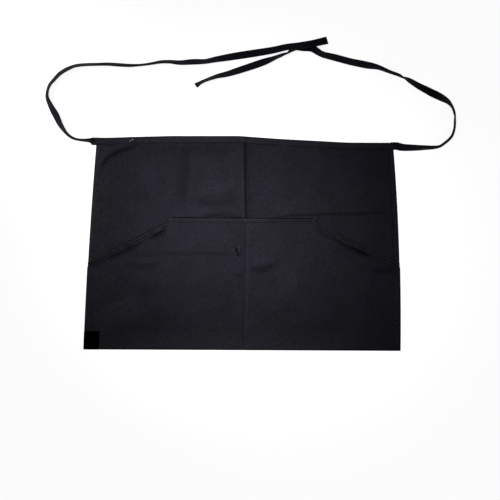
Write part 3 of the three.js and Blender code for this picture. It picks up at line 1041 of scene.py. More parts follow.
@dataclass(frozen=True)
class Twill:
    """Dark cotton twill: steep diagonal ribs over fine upright threads, paler where scuffed and where light
    is painted on, darker where shade is painted in.

    Attributes:
        name: of the material.
        weave: what the pattern follows.
        deep: colour in the hollows.
        pale: colour on the threads.
        rubbed_and_lit: colour of scuffed edges and of painted light.
        painted_shade: colour of the shade painted into seams, creases and hollows.
        warmer: tint of some patches.
        cooler: tint of the other patches.
        lint: colour of the specks of lint.
        rib: spacing of the diagonal ribs.
        yarn: spacing of the upright threads.
        bump: how strongly they stand up.
    """

    name: str
    weave: Weave = Weave.LAID
    deep: Colour = (0.0140, 0.0134, 0.0186, 1)
    pale: Colour = (0.0300, 0.0287, 0.0395, 1)
    rubbed_and_lit: Colour = (0.0480, 0.0462, 0.0570, 1)
    painted_shade: Colour = (0.0030, 0.0028, 0.0040, 1)
    warmer: Colour = (1.0, 0.99, 0.97, 1)
    cooler: Colour = (1.0, 0.98, 1.06, 1)
    lint: Colour = (0.09, 0.088, 0.1, 1)
    rib: float = 0.00092
    yarn: float = 0.00046
    bump: float = 0.5

    def make(self) -> bpy.types.Material:
        """Builds the material: ribs and threads in colour and bump, mottling, slubs, lint, scuffing, painted
        light and painted shade.

        Returns:
            The material.
        """
        recipe = Recipe(self.name)
        if self.weave is Weave.RIBBON:
            place = recipe.node("ShaderNodeAttribute", attribute_name="run").outputs["Vector"]
        else:
            place = recipe.node("ShaderNodeTexCoord").outputs["Object"]
        ribs = recipe.thread(place, (0.86, 0.5, 0), self.rib)
        yarns = recipe.thread(place, (1, 0, 0), self.yarn)
        slubs = recipe.noise(recipe.scaled(place, (1600, 90, 400)), 1.0, 2.0)
        grain = recipe.noise(place, 230.0, 4.0)
        patches = recipe.noise(place, 22.0, 4.0)
        woven = recipe.add(recipe.times(ribs, 0.13), recipe.times(yarns, 0.05))
        speckle = recipe.add(recipe.about(grain, 0.38), recipe.about(slubs, 0.2))
        tone = recipe.add(recipe.add(woven, speckle), recipe.spread(patches, 0.3, 0.7, 0.32, 0.58))
        cloth = recipe.blend(tone, self.deep, self.pale)
        tint = recipe.spread(recipe.noise(place, 9.0, 1.0), 0.42, 0.62)
        cloth = recipe.tinted(cloth, recipe.blend(tint, self.warmer, self.cooler))
        # The wear_and_painted_light mark: above zero, scuffing and painted light; below zero, painted shade.
        wear_and_painted_light = recipe.node("ShaderNodeAttribute", attribute_name="wear_and_painted_light").outputs["Fac"]
        worn_and_lit = recipe.times(wear_and_painted_light, recipe.spread(grain, 0.35, 0.7, 0.25, 0.85))
        cloth = recipe.blend(worn_and_lit, cloth, self.rubbed_and_lit)
        # Painted shade: below zero the cloth darkens towards the painted_shade colour.
        cloth = recipe.blend(recipe.times(wear_and_painted_light, -1.0), cloth, self.painted_shade)
        cells = recipe.node("ShaderNodeTexVoronoi", {"Vector": place, "Scale": 75.0})
        picked = recipe.node("ShaderNodeSeparateColor", {0: cells.outputs["Color"]}).outputs[0]
        chosen = recipe.math("GREATER_THAN", picked, 0.86)
        speck = recipe.times(chosen, recipe.spread(cells.outputs["Distance"], 0.03, 0.05, 0.55, 0.0))
        cloth = recipe.blend(speck, cloth, self.lint)
        height = recipe.add(recipe.times(woven, 3.0), recipe.about(slubs, 0.2))
        bump = recipe.node("ShaderNodeBump", {"Strength": self.bump, "Distance": 0.00012, "Height": height})
        return recipe.finish(
            {
                "Base Color": cloth,
                "Roughness": recipe.spread(grain, 0.3, 0.7, 0.82, 0.95),
                "Specular IOR Level": 0.1,
                "Sheen Weight": 0.04,
                "Sheen Roughness": 0.5,
                "Normal": bump.outputs[0],
            }
        )


@dataclass(frozen=True)
class LabelWeave:
    """Dense black satin weave of the sewn-on label.

    Attributes:
        name: of the material.
        ground: colour of the threads.
        shine: colour of the paler threads.
        pitch: of the threads.
    """

    name: str = "black label weave"
    ground: Colour = (0.0002, 0.0002, 0.0003, 1)
    shine: Colour = (0.0005, 0.0005, 0.0006, 1)
    pitch: float = 0.0004

    def make(self) -> bpy.types.Material:
        """Builds the material from two crossing rows of fine threads.

        Returns:
            The material.
        """
        recipe = Recipe(self.name)
        place = recipe.node("ShaderNodeTexCoord").outputs["Object"]
        level = recipe.thread(place, (0, 1, 0), self.pitch)
        upright = recipe.thread(place, (1, 0, 0), 1.5 * self.pitch)
        height = recipe.add(recipe.times(level, 0.4), recipe.times(upright, 0.2))
        tone = recipe.spread(recipe.noise(place, 250.0), 0.3, 0.8, 0.0, 0.6)
        bump = recipe.node("ShaderNodeBump", {"Strength": 0.4, "Distance": 0.0001, "Height": height})
        return recipe.finish(
            {
                "Base Color": recipe.blend(tone, self.ground, self.shine),
                "Roughness": recipe.spread(tone, 0.0, 0.6, 0.8, 0.95),
                "Specular IOR Level": 0.0,
                "Normal": bump.outputs[0],
            }
        )


@dataclass(frozen=True)
class SewingThread:
    """Spun thread with a fine twist.

    Attributes:
        name: of the material.
        dark: colour between the strands.
        light: colour on the strands.
    """

    name: str
    dark: Colour = (0.0080, 0.0076, 0.0100, 1)
    light: Colour = (0.0260, 0.0250, 0.0300, 1)

    def make(self) -> bpy.types.Material:
        """Builds the material from slanting strands.

        Returns:
            The material.
        """
        recipe = Recipe(self.name)
        place = recipe.node("ShaderNodeTexCoord").outputs["Object"]
        strands = recipe.thread(place, (0.7, 0.7, 0), 0.0005)
        mottle = recipe.spread(recipe.noise(place, 900.0), 0.3, 0.7, 0.2, 0.8)
        tone = recipe.add(recipe.times(strands, 0.35), mottle)
        bump = recipe.node("ShaderNodeBump", {"Strength": 0.4, "Distance": 0.00008, "Height": strands})
        return recipe.finish(
            {
                "Base Color": recipe.blend(tone, self.dark, self.light),
                "Roughness": recipe.spread(tone, 0.0, 1.0, 0.85, 0.65),
                "Specular IOR Level": 0.2,
                "Normal": bump.outputs[0],
            }
        )


@dataclass
class Finishes:
    """The materials, each made once."""

    twill: bpy.types.Material = field(default_factory=lambda: Twill("dark twill").make())
    tape: bpy.types.Material = field(
        default_factory=lambda: Twill(
            "tie twill",
            Weave.RIBBON,
            deep=(0.0105, 0.0100, 0.0160, 1),
            pale=(0.0230, 0.0218, 0.0340, 1),
            # The ties' paler colour, used for paler edges and for painted light.
            rubbed_and_lit=(0.0600, 0.0500, 0.0640, 1),
        ).make()
    )
    label: bpy.types.Material = field(default_factory=lambda: LabelWeave().make())
    thread: bpy.types.Material = field(default_factory=lambda: SewingThread("dark sewing thread").make())
    tack_thread: bpy.types.Material = field(
        default_factory=lambda: SewingThread(
            "bar tack thread", dark=(0.026, 0.025, 0.032, 1), light=(0.085, 0.082, 0.100, 1)
        ).make()
    )
    pale_thread: bpy.types.Material = field(
        default_factory=lambda: SewingThread(
            "white thread", dark=(0.75, 0.75, 0.75, 1), light=(0.95, 0.95, 0.95, 1)
        ).make()
    )


def dress(piece: Piece, finish: bpy.types.Material, slot: str, *nodes: str) -> Piece:
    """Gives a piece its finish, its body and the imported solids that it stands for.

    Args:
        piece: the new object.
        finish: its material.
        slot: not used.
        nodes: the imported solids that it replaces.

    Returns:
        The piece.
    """
    piece.data.materials.append(finish)
    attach(piece, "root")
    if nodes:
        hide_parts(*nodes)
    log.info("%s: %d points, for %s", piece.name, len(piece.data.vertices), ", ".join(nodes) or "no solid")
    return piece


@dataclass
class Stitches:
    """Rows of sewing stitches, gathered into one mesh.

    Attributes:
        name: of the piece.
        pitch: from one stitch to the next.
        length: of a stitch.
        radius: of the thread.
    """

    name: str
    pitch: float = 0.0032
    length: float = 0.0025
    radius: float = 0.00028
    rows: list[Array] = field(default_factory=list)

    def sew(self, line: Array, up: Array | None = None, pitch: float | None = None) -> None:
        """Adds a row of stitches along a line.

        Args:
            line: points on the cloth.
            up: the cloth's normal at each point; straight up if left out.
            pitch: another spacing for this row.
        """
        step = pitch or self.pitch
        run = run_length(line)[-1]
        places = np.arange(step / 2, run, step)
        middle = resample(line, places)
        ahead = resample(line, np.minimum(places + step / 4, run))
        ahead -= resample(line, np.maximum(places - step / 4, 0))
        ahead /= np.linalg.norm(ahead, axis=1, keepdims=True)
        if up is None:
            normal = np.tile([0.0, 0.0, 1.0], (len(places), 1))
        else:
            run_up = run_length(line)
            normal = np.stack([np.interp(places, run_up, part) for part in up.T], axis=-1)
        self.rows.append(self.bodies(middle, ahead, normal, min(self.length, 0.8 * step)))

    def bodies(self, middle: Array, ahead: Array, up: Array, length: float) -> Array:
        """Points of the stitches: rings whose radius grows and shrinks, lowered at both ends by an arch.

        Args:
            middle: of each stitch.
            ahead: unit direction of each.
            up: the cloth's normal at each.
            length: of a stitch.

        Returns:
            Stitches by rings by points by three.
        """
        beside = np.cross(up, ahead)
        beside /= np.linalg.norm(beside, axis=1, keepdims=True)
        along = np.array([-0.5, -0.36, 0.0, 0.36, 0.5])
        thick = np.array([0.35, 0.85, 1.0, 0.85, 0.35])
        turn = np.arange(6) / 6 * 2 * math.pi
        ahead_part = np.repeat((along * length)[:, None], 6, axis=1)
        beside_part = self.radius * thick[:, None] * np.cos(turn)
        arch = -0.9 * self.radius * (2 * along) ** 2
        up_part = self.radius * (thick[:, None] * np.sin(turn)) + arch[:, None]
        return (
            middle[:, None, None]
            + ahead_part[..., None] * ahead[:, None, None]
            + beside_part[..., None] * beside[:, None, None]
            + up_part[..., None] * up[:, None, None]
        )

    def build(self, finish: bpy.types.Material, slot: str) -> Piece:
        """Joins all the rows into one dressed piece.

        Args:
            finish: the thread's material.
            slot: the record's slot.

        Returns:
            The piece.
        """
        every = np.concatenate(self.rows)
        count, rings, size = every.shape[:3]
        start = (np.arange(count) * rings * size)[:, None, None]
        sides = (lattice(rings, size, wrap=True) + start).reshape(-1, 4)
        ends = np.stack([np.arange(size)[::-1], np.arange(size) + (rings - 1) * size])
        return dress(mesh_piece(self.name, every, sides, (ends + start).reshape(-1, size)), finish, slot)


@dataclass
class Tie:
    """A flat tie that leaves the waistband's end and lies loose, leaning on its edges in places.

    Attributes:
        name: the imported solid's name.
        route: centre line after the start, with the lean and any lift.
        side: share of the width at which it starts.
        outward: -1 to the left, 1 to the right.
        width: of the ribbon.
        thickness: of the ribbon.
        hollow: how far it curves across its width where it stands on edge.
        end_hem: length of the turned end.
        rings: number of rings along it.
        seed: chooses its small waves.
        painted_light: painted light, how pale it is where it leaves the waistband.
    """

    name: str
    route: Route
    side: float
    outward: int
    width: float = 0.0175
    thickness: float = 0.0020
    hollow: float = 0.0030
    end_hem: float = 0.009
    rings: int = 460
    seed: int = 5
    painted_light: float = 0.0

    def stops(self) -> Array:
        """Rows of x, y, lean and lift: two inside and outside the band's end, then the route.

        Returns:
            One row for each stop.
        """
        _, y = LAID.place(self.side, 1 - LAID.waistband / 2 / LAID.length)
        x, _ = LAID.place(self.side, 1 - (LAID.waistband + self.width) / 2 / LAID.length)
        start = [(x + self.outward * out, y, 0, lift) for out, lift in ((-0.006, 0.0009), (0.0073, 0.0))]
        rest = [(*stop, 0.0)[:4] for stop in self.route]
        return np.array([*start, *rest], dtype=float)

    def centres(self) -> tuple[Array, Array, Array]:
        """The centre line at even steps.

        Returns:
            The ribbon's centres, its unit headings and its leans in radians.
        """
        stops = self.stops()
        flat = np.column_stack([stops[:, :2], np.zeros(len(stops))])
        roll = np.column_stack([stops[:, 2], 1000 * stops[:, 3], 40 * np.arange(len(stops))])
        fine = np.linspace(0, 1, 6000)
        run = run_length(smooth_curve(flat, fine))
        at = np.interp(np.linspace(0, run[-1], self.rings), run, fine)
        centre = smooth_curve(flat, at)
        lean, lift = smooth_curve(roll, at)[:, :2].T
        heading = np.gradient(centre, axis=0)
        heading /= np.linalg.norm(heading, axis=1, keepdims=True)
        phi = np.radians(lean)
        stand = self.width * np.abs(np.sin(phi)) + self.thickness * np.abs(np.cos(phi))
        centre[:, 2] = stand / 2 + np.maximum(0, lift / 1000) + 0.0003
        return centre, heading, phi

    def axes(self, heading: Array, phi: Array) -> tuple[Array, Array]:
        """The ribbon's width direction and its face normal, turned by its lean about the heading.

        Args:
            heading: unit headings.
            phi: leans in radians.

        Returns:
            Two unit directions for each ring.
        """
        cos, sin = np.cos(phi), np.sin(phi)
        beside = np.column_stack([-heading[:, 1] * cos, heading[:, 0] * cos, sin])
        face = np.column_stack([heading[:, 1] * sin, -heading[:, 0] * sin, cos])
        return beside, face

    def section(self) -> Array:
        """The ribbon's outline: two flat sides and two half-round edges, as points across and through it.

        Returns:
            One row for each point.
        """
        half, radius = (self.width - self.thickness) / 2, self.thickness / 2
        flat = np.linspace(half, -half, 13)
        turn = np.radians([126, 180, 234])
        left = np.column_stack([-half + radius * np.cos(turn), radius * np.sin(turn)])
        upper = np.column_stack([flat, np.full(13, radius)])
        return np.concatenate([upper, left, -upper, -left])

    def build(self, finishes: Finishes) -> list[Piece]:
        """Args:
            finishes: the materials.

        Returns:
            The ribbon and its stitches.
        """
        centre, heading, phi = self.centres()
        beside, face = self.axes(heading, phi)
        run = run_length(centre)
        wave = ripple(run, np.zeros_like(run), 0.0005, 0.03, 0.09, self.seed)
        wave *= ease(run / 0.03)
        across, through = self.section().T
        bend = 0.0007 * np.sin(run / 0.045 + self.seed) + self.hollow * np.sin(phi) ** 6
        cup = bend[:, None] * (1 - (2 * across / self.width) ** 2)
        turned = 1 + 0.55 * ease((run - run[-1] + self.end_hem) / 0.0012)
        depth = through * turned[:, None] + cup
        depth += wave[:, None] * np.abs(np.sin(phi))[:, None]
        rings = centre[:, None] + across[None, :, None] * beside[:, None] + depth[..., None] * face[:, None]
        rings[..., 2] = np.maximum(rings[..., 2], 0.0002)
        along = np.broadcast_to(run[:, None], depth.shape)
        over = np.broadcast_to(across + (self.width * 2) * (through < 0), depth.shape)
        # Paler along the edges where the ribbon lies flat; painted light fading from the band; painted shade
        # where it stands on edge.
        rubbed_and_lit = 0.3 * ease((np.abs(across) - 0.0072) / 0.0014) * np.cos(phi)[:, None] ** 2
        marks = {
            "run": np.stack([over, along, np.zeros_like(along)], axis=-1),
            "wear_and_painted_light": rubbed_and_lit + self.painted_light * (1 - ease(along / 0.42)) - 0.55 * np.sin(phi)[:, None] ** 8,
        }
        ribbon = dress(tube_piece(self.name + "_cloth", rings, marks), finishes.tape, "tie_tape", self.name)
        rows = Stitches(self.name + "_stitches", radius=0.00022)
        inset = self.width / 2 - 0.0022
        for side in (1, -1):
            skin = side * self.thickness / 2 * turned + wave * np.abs(np.sin(phi))
            skin += bend * (1 - (2 * inset / self.width) ** 2)
            rows.sew(centre - inset * beside + skin[:, None] * face, side * face)
            last = slice(-int(self.rings * self.end_hem / run[-1]), None)
            spot = centre[last][0] + side * self.thickness / 2 * face[last][0]
            reach = np.linspace(-0.42, 0.42, 9)[:, None] * self.width
            rows.sew(spot + reach * beside[last][0], np.tile(side * face[last][0], (9, 1)))
        sewn = rows.build(finishes.thread, "tie_tape")
        return [ribbon, sewn]


@dataclass
class Body:
    """The body of the apron: its cloth, the turned hems under its edges and its waistband.

    Attributes:
        cloth: thickness of the cloth.
        turn: radius of a folded edge.
        band_row: how far below its fold the waistband is stitched.
        band_sunk: how far those stitches lie under the waistband's front.
    """

    cloth: float = 0.0008
    turn: float = 0.00105
    band_row: float = 0.0146
    band_sunk: float = 0.0006

    def panel(self, finishes: Finishes) -> Piece:
        """The body cloth: a grid over the outline whose edges turn down round the hems.

        Args:
            finishes: the materials.

        Returns:
            The piece.
        """
        columns = LAID.columns(0.5)
        length = LAID.length
        rows = stations(
            (0, 1),
            (0.001, 0.00035),
            (0.186, 0.0065),
            (0.294, 0.0026),
            (0.302, 0.0005),
            (0.316, 0.0014),
            (length - 0.024, 0.0028),
            (length - 0.0018, 0.0015),
        )
        u, v = np.meshgrid(columns, rows / length)
        x, y = LAID.place(u, v)
        side, low = LAID.side_distance(u), v * length
        z = LAID.body_middle(u, v) - curl(side, low, self.turn)
        z += groove(side - LAID.side_hem + STITCH_IN)
        # Side hems paler.
        wear_and_painted_light = 0.32 * fading(side, LAID.side_hem - 0.002, LAID.side_hem)
        # Painted light along the left side and its edge, painted shade along the right edge.
        wear_and_painted_light += 0.7 * fading(side, 0.010, 0.050) * (u < 0.5)
        wear_and_painted_light += 0.5 * fading(side, 0.0006, 0.002) * (u < 0.5) - 0.6 * bell(side, 0.0014) * (u > 0.5)
        # Painted highlight on the centre crease's lit flank, painted shade in the crease and beyond it to the
        # right.
        flank = x - np.interp(y, (0.06, 0.244), (0.0074, 0.0056))
        half = np.interp(y, (0.06, 0.15, 0.235), (0.0014, 0.0021, 0.0034))
        lit = np.interp(y, (0.06, 0.12, 0.235), (0.35, 0.2, 0.0))
        wear_and_painted_light += lit * bell(flank + 0.0048, 0.0016) - 0.7 * bell(flank, half)
        wear_and_painted_light -= 0.24 * fading(flank, 0.004, 0.026) * (flank > 0)
        # Painted shade in the side hems' stitch grooves.
        wear_and_painted_light -= 0.7 * bell(side - LAID.side_hem + STITCH_IN, 0.0011)
        # Painted shade and light along the body's creases.
        wear_and_painted_light += relief(BODY_PAINTED_SHADING, x, y)
        # Painted shadow in the opening just above the pocket's straight edge.
        across, dark = np.array(PAINTED_SLIT_SHADOW).T
        above = (v - LAID.pocket_edge(u)) * length
        wear_and_painted_light -= np.interp(x, across, dark, left=0.3, right=0.3) * bell(above - 0.0010, 0.0013)
        piece = cloth_piece("body_cloth", np.stack([x, y, z], -1), self.cloth, {"wear_and_painted_light": wear_and_painted_light})
        return dress(piece, finishes.twill, "twill", "body_panel")

    def strip(self, name: str, u: Array, v: Array, finishes: Finishes) -> Piece:
        """A hem's turned-under layer, flat on the surface under the body cloth's edge.

        Args:
            name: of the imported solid.
            u: grid of shares of the width.
            v: grid of shares of the length.
            finishes: the materials.

        Returns:
            The piece.
        """
        x, y = LAID.place(u, v)
        z = 0.0005 + 0.00015 * np.sin(x / 0.0061) * np.sin(y / 0.0053)
        wear_and_painted_light = np.full(x.shape, 0.2)
        piece = cloth_piece(name + "_cloth", np.stack([x, y, z], -1), self.cloth, {"wear_and_painted_light": wear_and_painted_light})
        return dress(piece, finishes.twill, "twill", name)

    def hems(self, finishes: Finishes) -> list[Piece]:
        """The two side hems and the bottom hem, each just inside the folded edge.

        Args:
            finishes: the materials.

        Returns:
            The pieces.
        """
        inset = 0.0006 / LAID.hem_width
        side = LAID.side_hem / LAID.hem_width
        low, high = LAID.bottom_hem + 0.0004, LAID.length - LAID.waistband - 0.0004
        rise = stations((low, 1), (high, 0.004)) / LAID.length
        foot = stations((0.0006, 1), (LAID.bottom_hem, 0.004)) / LAID.length
        return [
            self.strip("left_side_hem", *np.meshgrid(np.linspace(inset, side, 8), rise), finishes),
            self.strip("right_side_hem", *np.meshgrid(np.linspace(1 - side, 1 - inset, 8), rise), finishes),
            self.strip("bottom_hem", *np.meshgrid(np.linspace(inset, 1 - inset, 180), foot), finishes),
        ]

    def band_height(self) -> float:
        """Thickness of the folded waistband: three layers and the gaps between them."""
        return 3 * LAID.layer + 2 * LAID.gap

    def band_section(self) -> Array:
        """The waistband's outline: how far down from the fold and how high, round a hairpin of cloth.

        Returns:
            One row for each point.
        """
        deep, layers = LAID.waistband, self.band_height()
        radius, inner = layers / 2, layers / 2 - LAID.layer
        turn = np.linspace(math.pi / 2, 3 * math.pi / 2, 13)
        down = np.linspace(deep - 0.0004, radius, 22)
        outer = np.column_stack([down, np.full(22, layers)])
        fold = radius + radius * np.column_stack([np.cos(turn), np.sin(turn)])
        inside = radius + inner * np.column_stack([np.cos(turn), np.sin(turn)])[::-1]
        foot = np.array([[deep, layers - 0.0003], [deep, layers - 0.0007], [deep - 0.0003, layers - 0.001]])
        under = np.array([[deep, 0.0], [deep, LAID.layer]])
        return np.concatenate([outer, fold[1:], under, inside, foot[::-1]])

    def band_swell(self, x: Array, y: Array) -> Array:
        """How far the waistband's front stands off: gentle ripples and the end of the centre crease."""
        return ripple(x, y, 0.00035, 0.02, 0.06, seed=21) + 0.8 * relief(BODY_CREASES[:1], x, y)

    def band(self, finishes: Finishes) -> Piece:
        """The waistband: its section carried along the width, rippled where the stitches draw it in.

        Args:
            finishes: the materials.

        Returns:
            The piece.
        """
        u = stations((0, 1), (0.49, 0.0042), (0.51, 0.0015), (1, 0.0042))
        down, height = self.band_section().T
        spread, deep = np.meshgrid(u, down, indexing="ij")
        x, y = LAID.place(spread, 1 - deep / LAID.length)
        z = np.broadcast_to(height, x.shape).copy()
        upper = ease((z - 0.0018) / 0.0012)
        near_row = np.exp(-(((deep - 0.0138) / 0.0042) ** 2))
        drawn = 0.00028 * np.sin(x / 0.00115 + 2.5 * np.sin(x / 0.013)) * near_row
        z += upper * (groove(deep - self.band_row, 0.0007) + drawn + self.band_swell(x, y))
        # Painted light fading from left to right, paler along the fold, and painted shade along the lower
        # edge.
        wear_and_painted_light = 0.5 - 0.3 * ease(spread) + 0.3 * bell(deep, 0.0016) - 1.3 * bell(deep - 0.0152, 0.0009)
        piece = tube_piece("waistband_cloth", np.stack([x, y, z], -1), {"wear_and_painted_light": wear_and_painted_light})
        return dress(piece, finishes.twill, "twill", "waistband")

    def sewing(self, finishes: Finishes) -> Piece:
        """The rows along the waistband and up the side hems above the pocket.

        Args:
            finishes: the materials.

        Returns:
            The piece.
        """
        rows = Stitches("body_stitches")
        u = np.linspace(0.002, 0.998, 700)
        x, y = LAID.place(u, 1 - self.band_row / LAID.length)
        rows.sew(np.column_stack([x, y, self.band_height() - self.band_sunk + self.band_swell(x, y)]))
        inset = (LAID.side_hem - STITCH_IN) / LAID.hem_width
        for across in (inset, 1 - inset):
            v = np.linspace(LAID.pocket_edge(np.array(across)) + 0.004, 1 - 0.0175 / LAID.length, 300)
            x, y = LAID.place(across, v)
            z = LAID.body_middle(np.full(v.shape, across), v) + self.cloth / 2 - 0.0004
            rows.sew(np.column_stack([x, y, z]))
        return rows.build(finishes.thread, "twill")

    def build(self, finishes: Finishes) -> list[Piece]:
        """Makes every piece of the body.

        Args:
            finishes: the materials.

        Returns:
            The pieces.
        """
        panel = self.panel(finishes)
        others = [*self.hems(finishes), self.band(finishes), self.sewing(finishes)]
        return [panel, *others]


@dataclass
class Pocket:
    """The wide pocket over the lower part: its cloth, its three hems, its dividing seam and its bar tacks.

    Attributes:
        cloth: thickness of the cloth.
        turn: radius of a folded edge.
        hem: thickness of the doubled hems.
        pucker: height of the slanted hems' diagonal puckers.
        pucker_pitch: spacing of those puckers along the width.
        hem_row: how far above its lower edge a hem is stitched.
        mouth_rows: shares of the slanted hems' depth at which they are stitched.
    """

    cloth: float = 0.0008
    turn: float = 0.0016
    hem: float = 0.0019
    pucker: float = 0.0008
    pucker_pitch: float = 0.019
    hem_row: float = 0.0014
    mouth_rows: tuple[float, float] = (0.45, 0.93)

    def pucker_wave(self, u: Array, down: Array | float) -> tuple[Array, Array]:
        """The slanted hems' diagonal puckers, whose spacing and height wander along the hem.

        Args:
            u: share of the width.
            down: share of the hem's depth.

        Returns:
            The turn of their sine, and how strong they are.
        """
        across = 2 * math.pi * u * LAID.hem_width
        turn = across / self.pucker_pitch + 1.6 * math.pi * down + 1.3 * np.sin(across / 0.061)
        return turn, 0.6 + 0.4 * np.sin(across / 0.043 + 1.0)

    def panel(self, finishes: Finishes) -> Piece:
        """The pocket cloth, from the bottom edge up to the seams of its hems.

        Args:
            finishes: the materials.

        Returns:
            The piece.
        """
        columns = LAID.columns(LAID.divider())
        rows = stations((0, 1), (0.0016, 0.0004), (0.03, 0.0028), (LAID.pocket_top, 0.0027)) / LAID.pocket_top
        u, share = np.meshgrid(columns, rows)
        v = share * (LAID.pocket_edge(u) - LAID.hem_depth(u) + 0.0008 / LAID.length)
        x, y = LAID.pocket_place(u, v)
        side, low = LAID.side_distance(u), v * LAID.length
        z = LAID.pocket_under(u, v) + LAID.layer / 2 - curl(side, low, self.turn)
        across = (u - LAID.divider()) * LAID.hem_width
        z += groove(across, 0.0008, 0.0018) + groove(side - LAID.side_hem + STITCH_IN)
        z += groove(low - LAID.bottom_hem + 0.002, 0.00025, 0.003)
        # Side hems and folded sides paler.
        wear_and_painted_light = 0.3 * fading(side, LAID.side_hem - 0.002, LAID.side_hem) + 0.4 * fading(side, 0.0008, 0.0022)
        # Painted light along the bottom, stronger to the left, and along the left side; painted highlights
        # along the bottom hem.
        wear_and_painted_light += np.interp(x, (-0.34, -0.1, 0.15, 0.35), (1.3, 0.95, 0.8, 0.2)) * fading(low, 0.006, 0.050)
        wear_and_painted_light += 0.8 * fading(side, 0.008, 0.070) * (u < 0.5)
        wear_and_painted_light += 0.5 * bell(low - 0.004, 0.003) * (0.5 + 0.5 * np.sin(x / 0.021 + 2 * np.sin(x / 0.05)))
        # Painted shadow along the bottom edge and painted shade along the right edge.
        wear_and_painted_light -= 2.4 * bell(low - 0.0016, 0.0016) + 1.5 * bell(side - 0.001, 0.0018) * (u > 0.5)
        # Painted highlight just right of the dividing seam.
        wear_and_painted_light = np.maximum(wear_and_painted_light, 0.25 * bell(across - 0.006, 0.003))
        # Painted shadow under the slanted hems, in patches.
        below = (LAID.pocket_edge(u) - LAID.hem_depth(u) - v) * LAID.length
        patchy = 0.65 + 0.35 * np.sin(x / 0.0105 + 1.5 * np.sin(x / 0.033))
        wear_and_painted_light -= 0.75 * patchy * bell(below, 0.0075) * ease(LAID.outward(u) / 0.1)
        # Painted shade in the dividing seam's groove.
        wear_and_painted_light -= 0.35 * bell(across, 0.0010)
        # Painted shade and light along the pocket's creases.
        wear_and_painted_light += relief(POCKET_PAINTED_SHADING, x, y)
        piece = cloth_piece("pocket_cloth", np.stack([x, y, z], -1), self.cloth, {"wear_and_painted_light": wear_and_painted_light})
        return dress(piece, finishes.twill, "twill", "pocket_panel")

    def hem_section(self, width: float, roped: bool) -> Array:
        """A doubled hem's outline: round at its edge and dipped at the rows of stitches.

        Args:
            width: of the hem.
            roped: whether it has a groove along its middle.

        Returns:
            Rows of a share down from the edge and a height.
        """
        share = np.concatenate([[0.0, 0.02, 0.07], np.linspace(0.13, 0.93, 16), [0.98, 1.0]])
        down = share * width
        turn = 1 - np.clip(down / 0.0030, 0, 1)
        height = self.hem * (0.4 + 0.6 * np.sqrt(1 - turn**2))
        height = height - self.hem * 0.55 * ease((down - width + 0.0010) / 0.0010)
        height = height + groove(down - width + self.hem_row, 0.0006, 0.0011)
        if roped:
            height = height + groove(down - 0.0047, 0.0009, 0.0012)
        upper = np.column_stack([share, height])
        lower = np.column_stack([share[::-4], np.zeros(len(share[::-4]))])
        return np.concatenate([upper, lower])

    def hem_rings(self, u: Array, roped: bool) -> tuple[Array, Array]:
        """Rings of a hem along its edge.

        Args:
            u: shares of the width that it covers.
            roped: whether diagonal puckers run across it.

        Returns:
            The rings, and each point's mark: a little paler, with painted light and painted shade.
        """
        width = LAID.mouth_hem if roped else LAID.pocket_hem
        share, height = self.hem_section(width, roped).T
        spread, down = np.meshgrid(u, share, indexing="ij")
        v = LAID.pocket_edge(spread) - LAID.hem_depth(spread) * down
        x, y = LAID.pocket_place(spread, v)
        base = LAID.pocket_under(spread, v)
        top = (height > 0) * np.sin(math.pi * np.clip(down, 0, 1)) ** 0.7
        if roped:
            turn, uneven = self.pucker_wave(spread, down)
            base = base + self.pucker * top * uneven * (1 + np.sin(turn))
            # Painted shade in the middle groove and at both edges, broken into dashes by the puckers.
            broken = 0.5 + 0.5 * np.sin(turn + 1.1)
            painted_shade = (0.6 + broken) * bell(down - 0.45, 0.15) + 1.0 * bell(down - 1.0, 0.1)
            painted_shade += 0.5 * (1 - broken) * bell(down - 0.05, 0.09)
        else:
            base = base + 0.00018 * top * np.sin(x / 0.0016 + 2 * np.sin(x / 0.011))
            # Painted shade at the top edge, along the stitch row and in the middle, stronger towards the
            # right.
            middle = np.interp(x, (-0.16, -0.02, 0.0, 0.05, 0.13), (0.6, 0.2, 0.6, 0.6, 1.5))
            painted_shade = 1.1 * bell(down, 0.08) + 1.2 * bell(down - 0.93, 0.09) + middle * bell(down - 0.48, 0.12)
        # Painted highlights on the two ridges.
        painted_ridge_light = 0.55 * bell(down - 0.22, 0.12) + 0.5 * bell(down - 0.75, 0.1)
        wear_and_painted_light = 0.2 + painted_ridge_light - painted_shade
        return np.stack([x, y, base + height], -1), wear_and_painted_light

    def hems(self, finishes: Finishes) -> list[Piece]:
        """The straight hem and the two slanted ones.

        Args:
            finishes: the materials.

        Returns:
            The pieces.
        """
        left, right = LAID.corners()
        wide = LAID.hem_width
        apart, inset = LAID.gap / wide, 0.0008 / wide
        step = 0.0021
        ranges = {
            "pocket_top_hem": (left + apart, right - apart, False),
            "pocket_left_mouth_hem": (inset, left, True),
            "pocket_right_mouth_hem": (right, 1 - inset, True),
        }
        made = []
        for name, (start, end, roped) in ranges.items():
            u = stations((start * wide, 1), (end * wide, step / 2 if roped else step)) / wide
            rings, wear_and_painted_light = self.hem_rings(u, roped)
            piece = tube_piece(name + "_cloth", rings, {"wear_and_painted_light": wear_and_painted_light})
            made.append(dress(piece, finishes.twill, "twill", name))
        return made

    def skin(self, u: Array, v: Array, above: float) -> Array:
        """Points on the pocket's upper side, raised by a height."""
        x, y = LAID.pocket_place(u, v)
        return np.column_stack([x, y, LAID.pocket_under(u, v) + above])

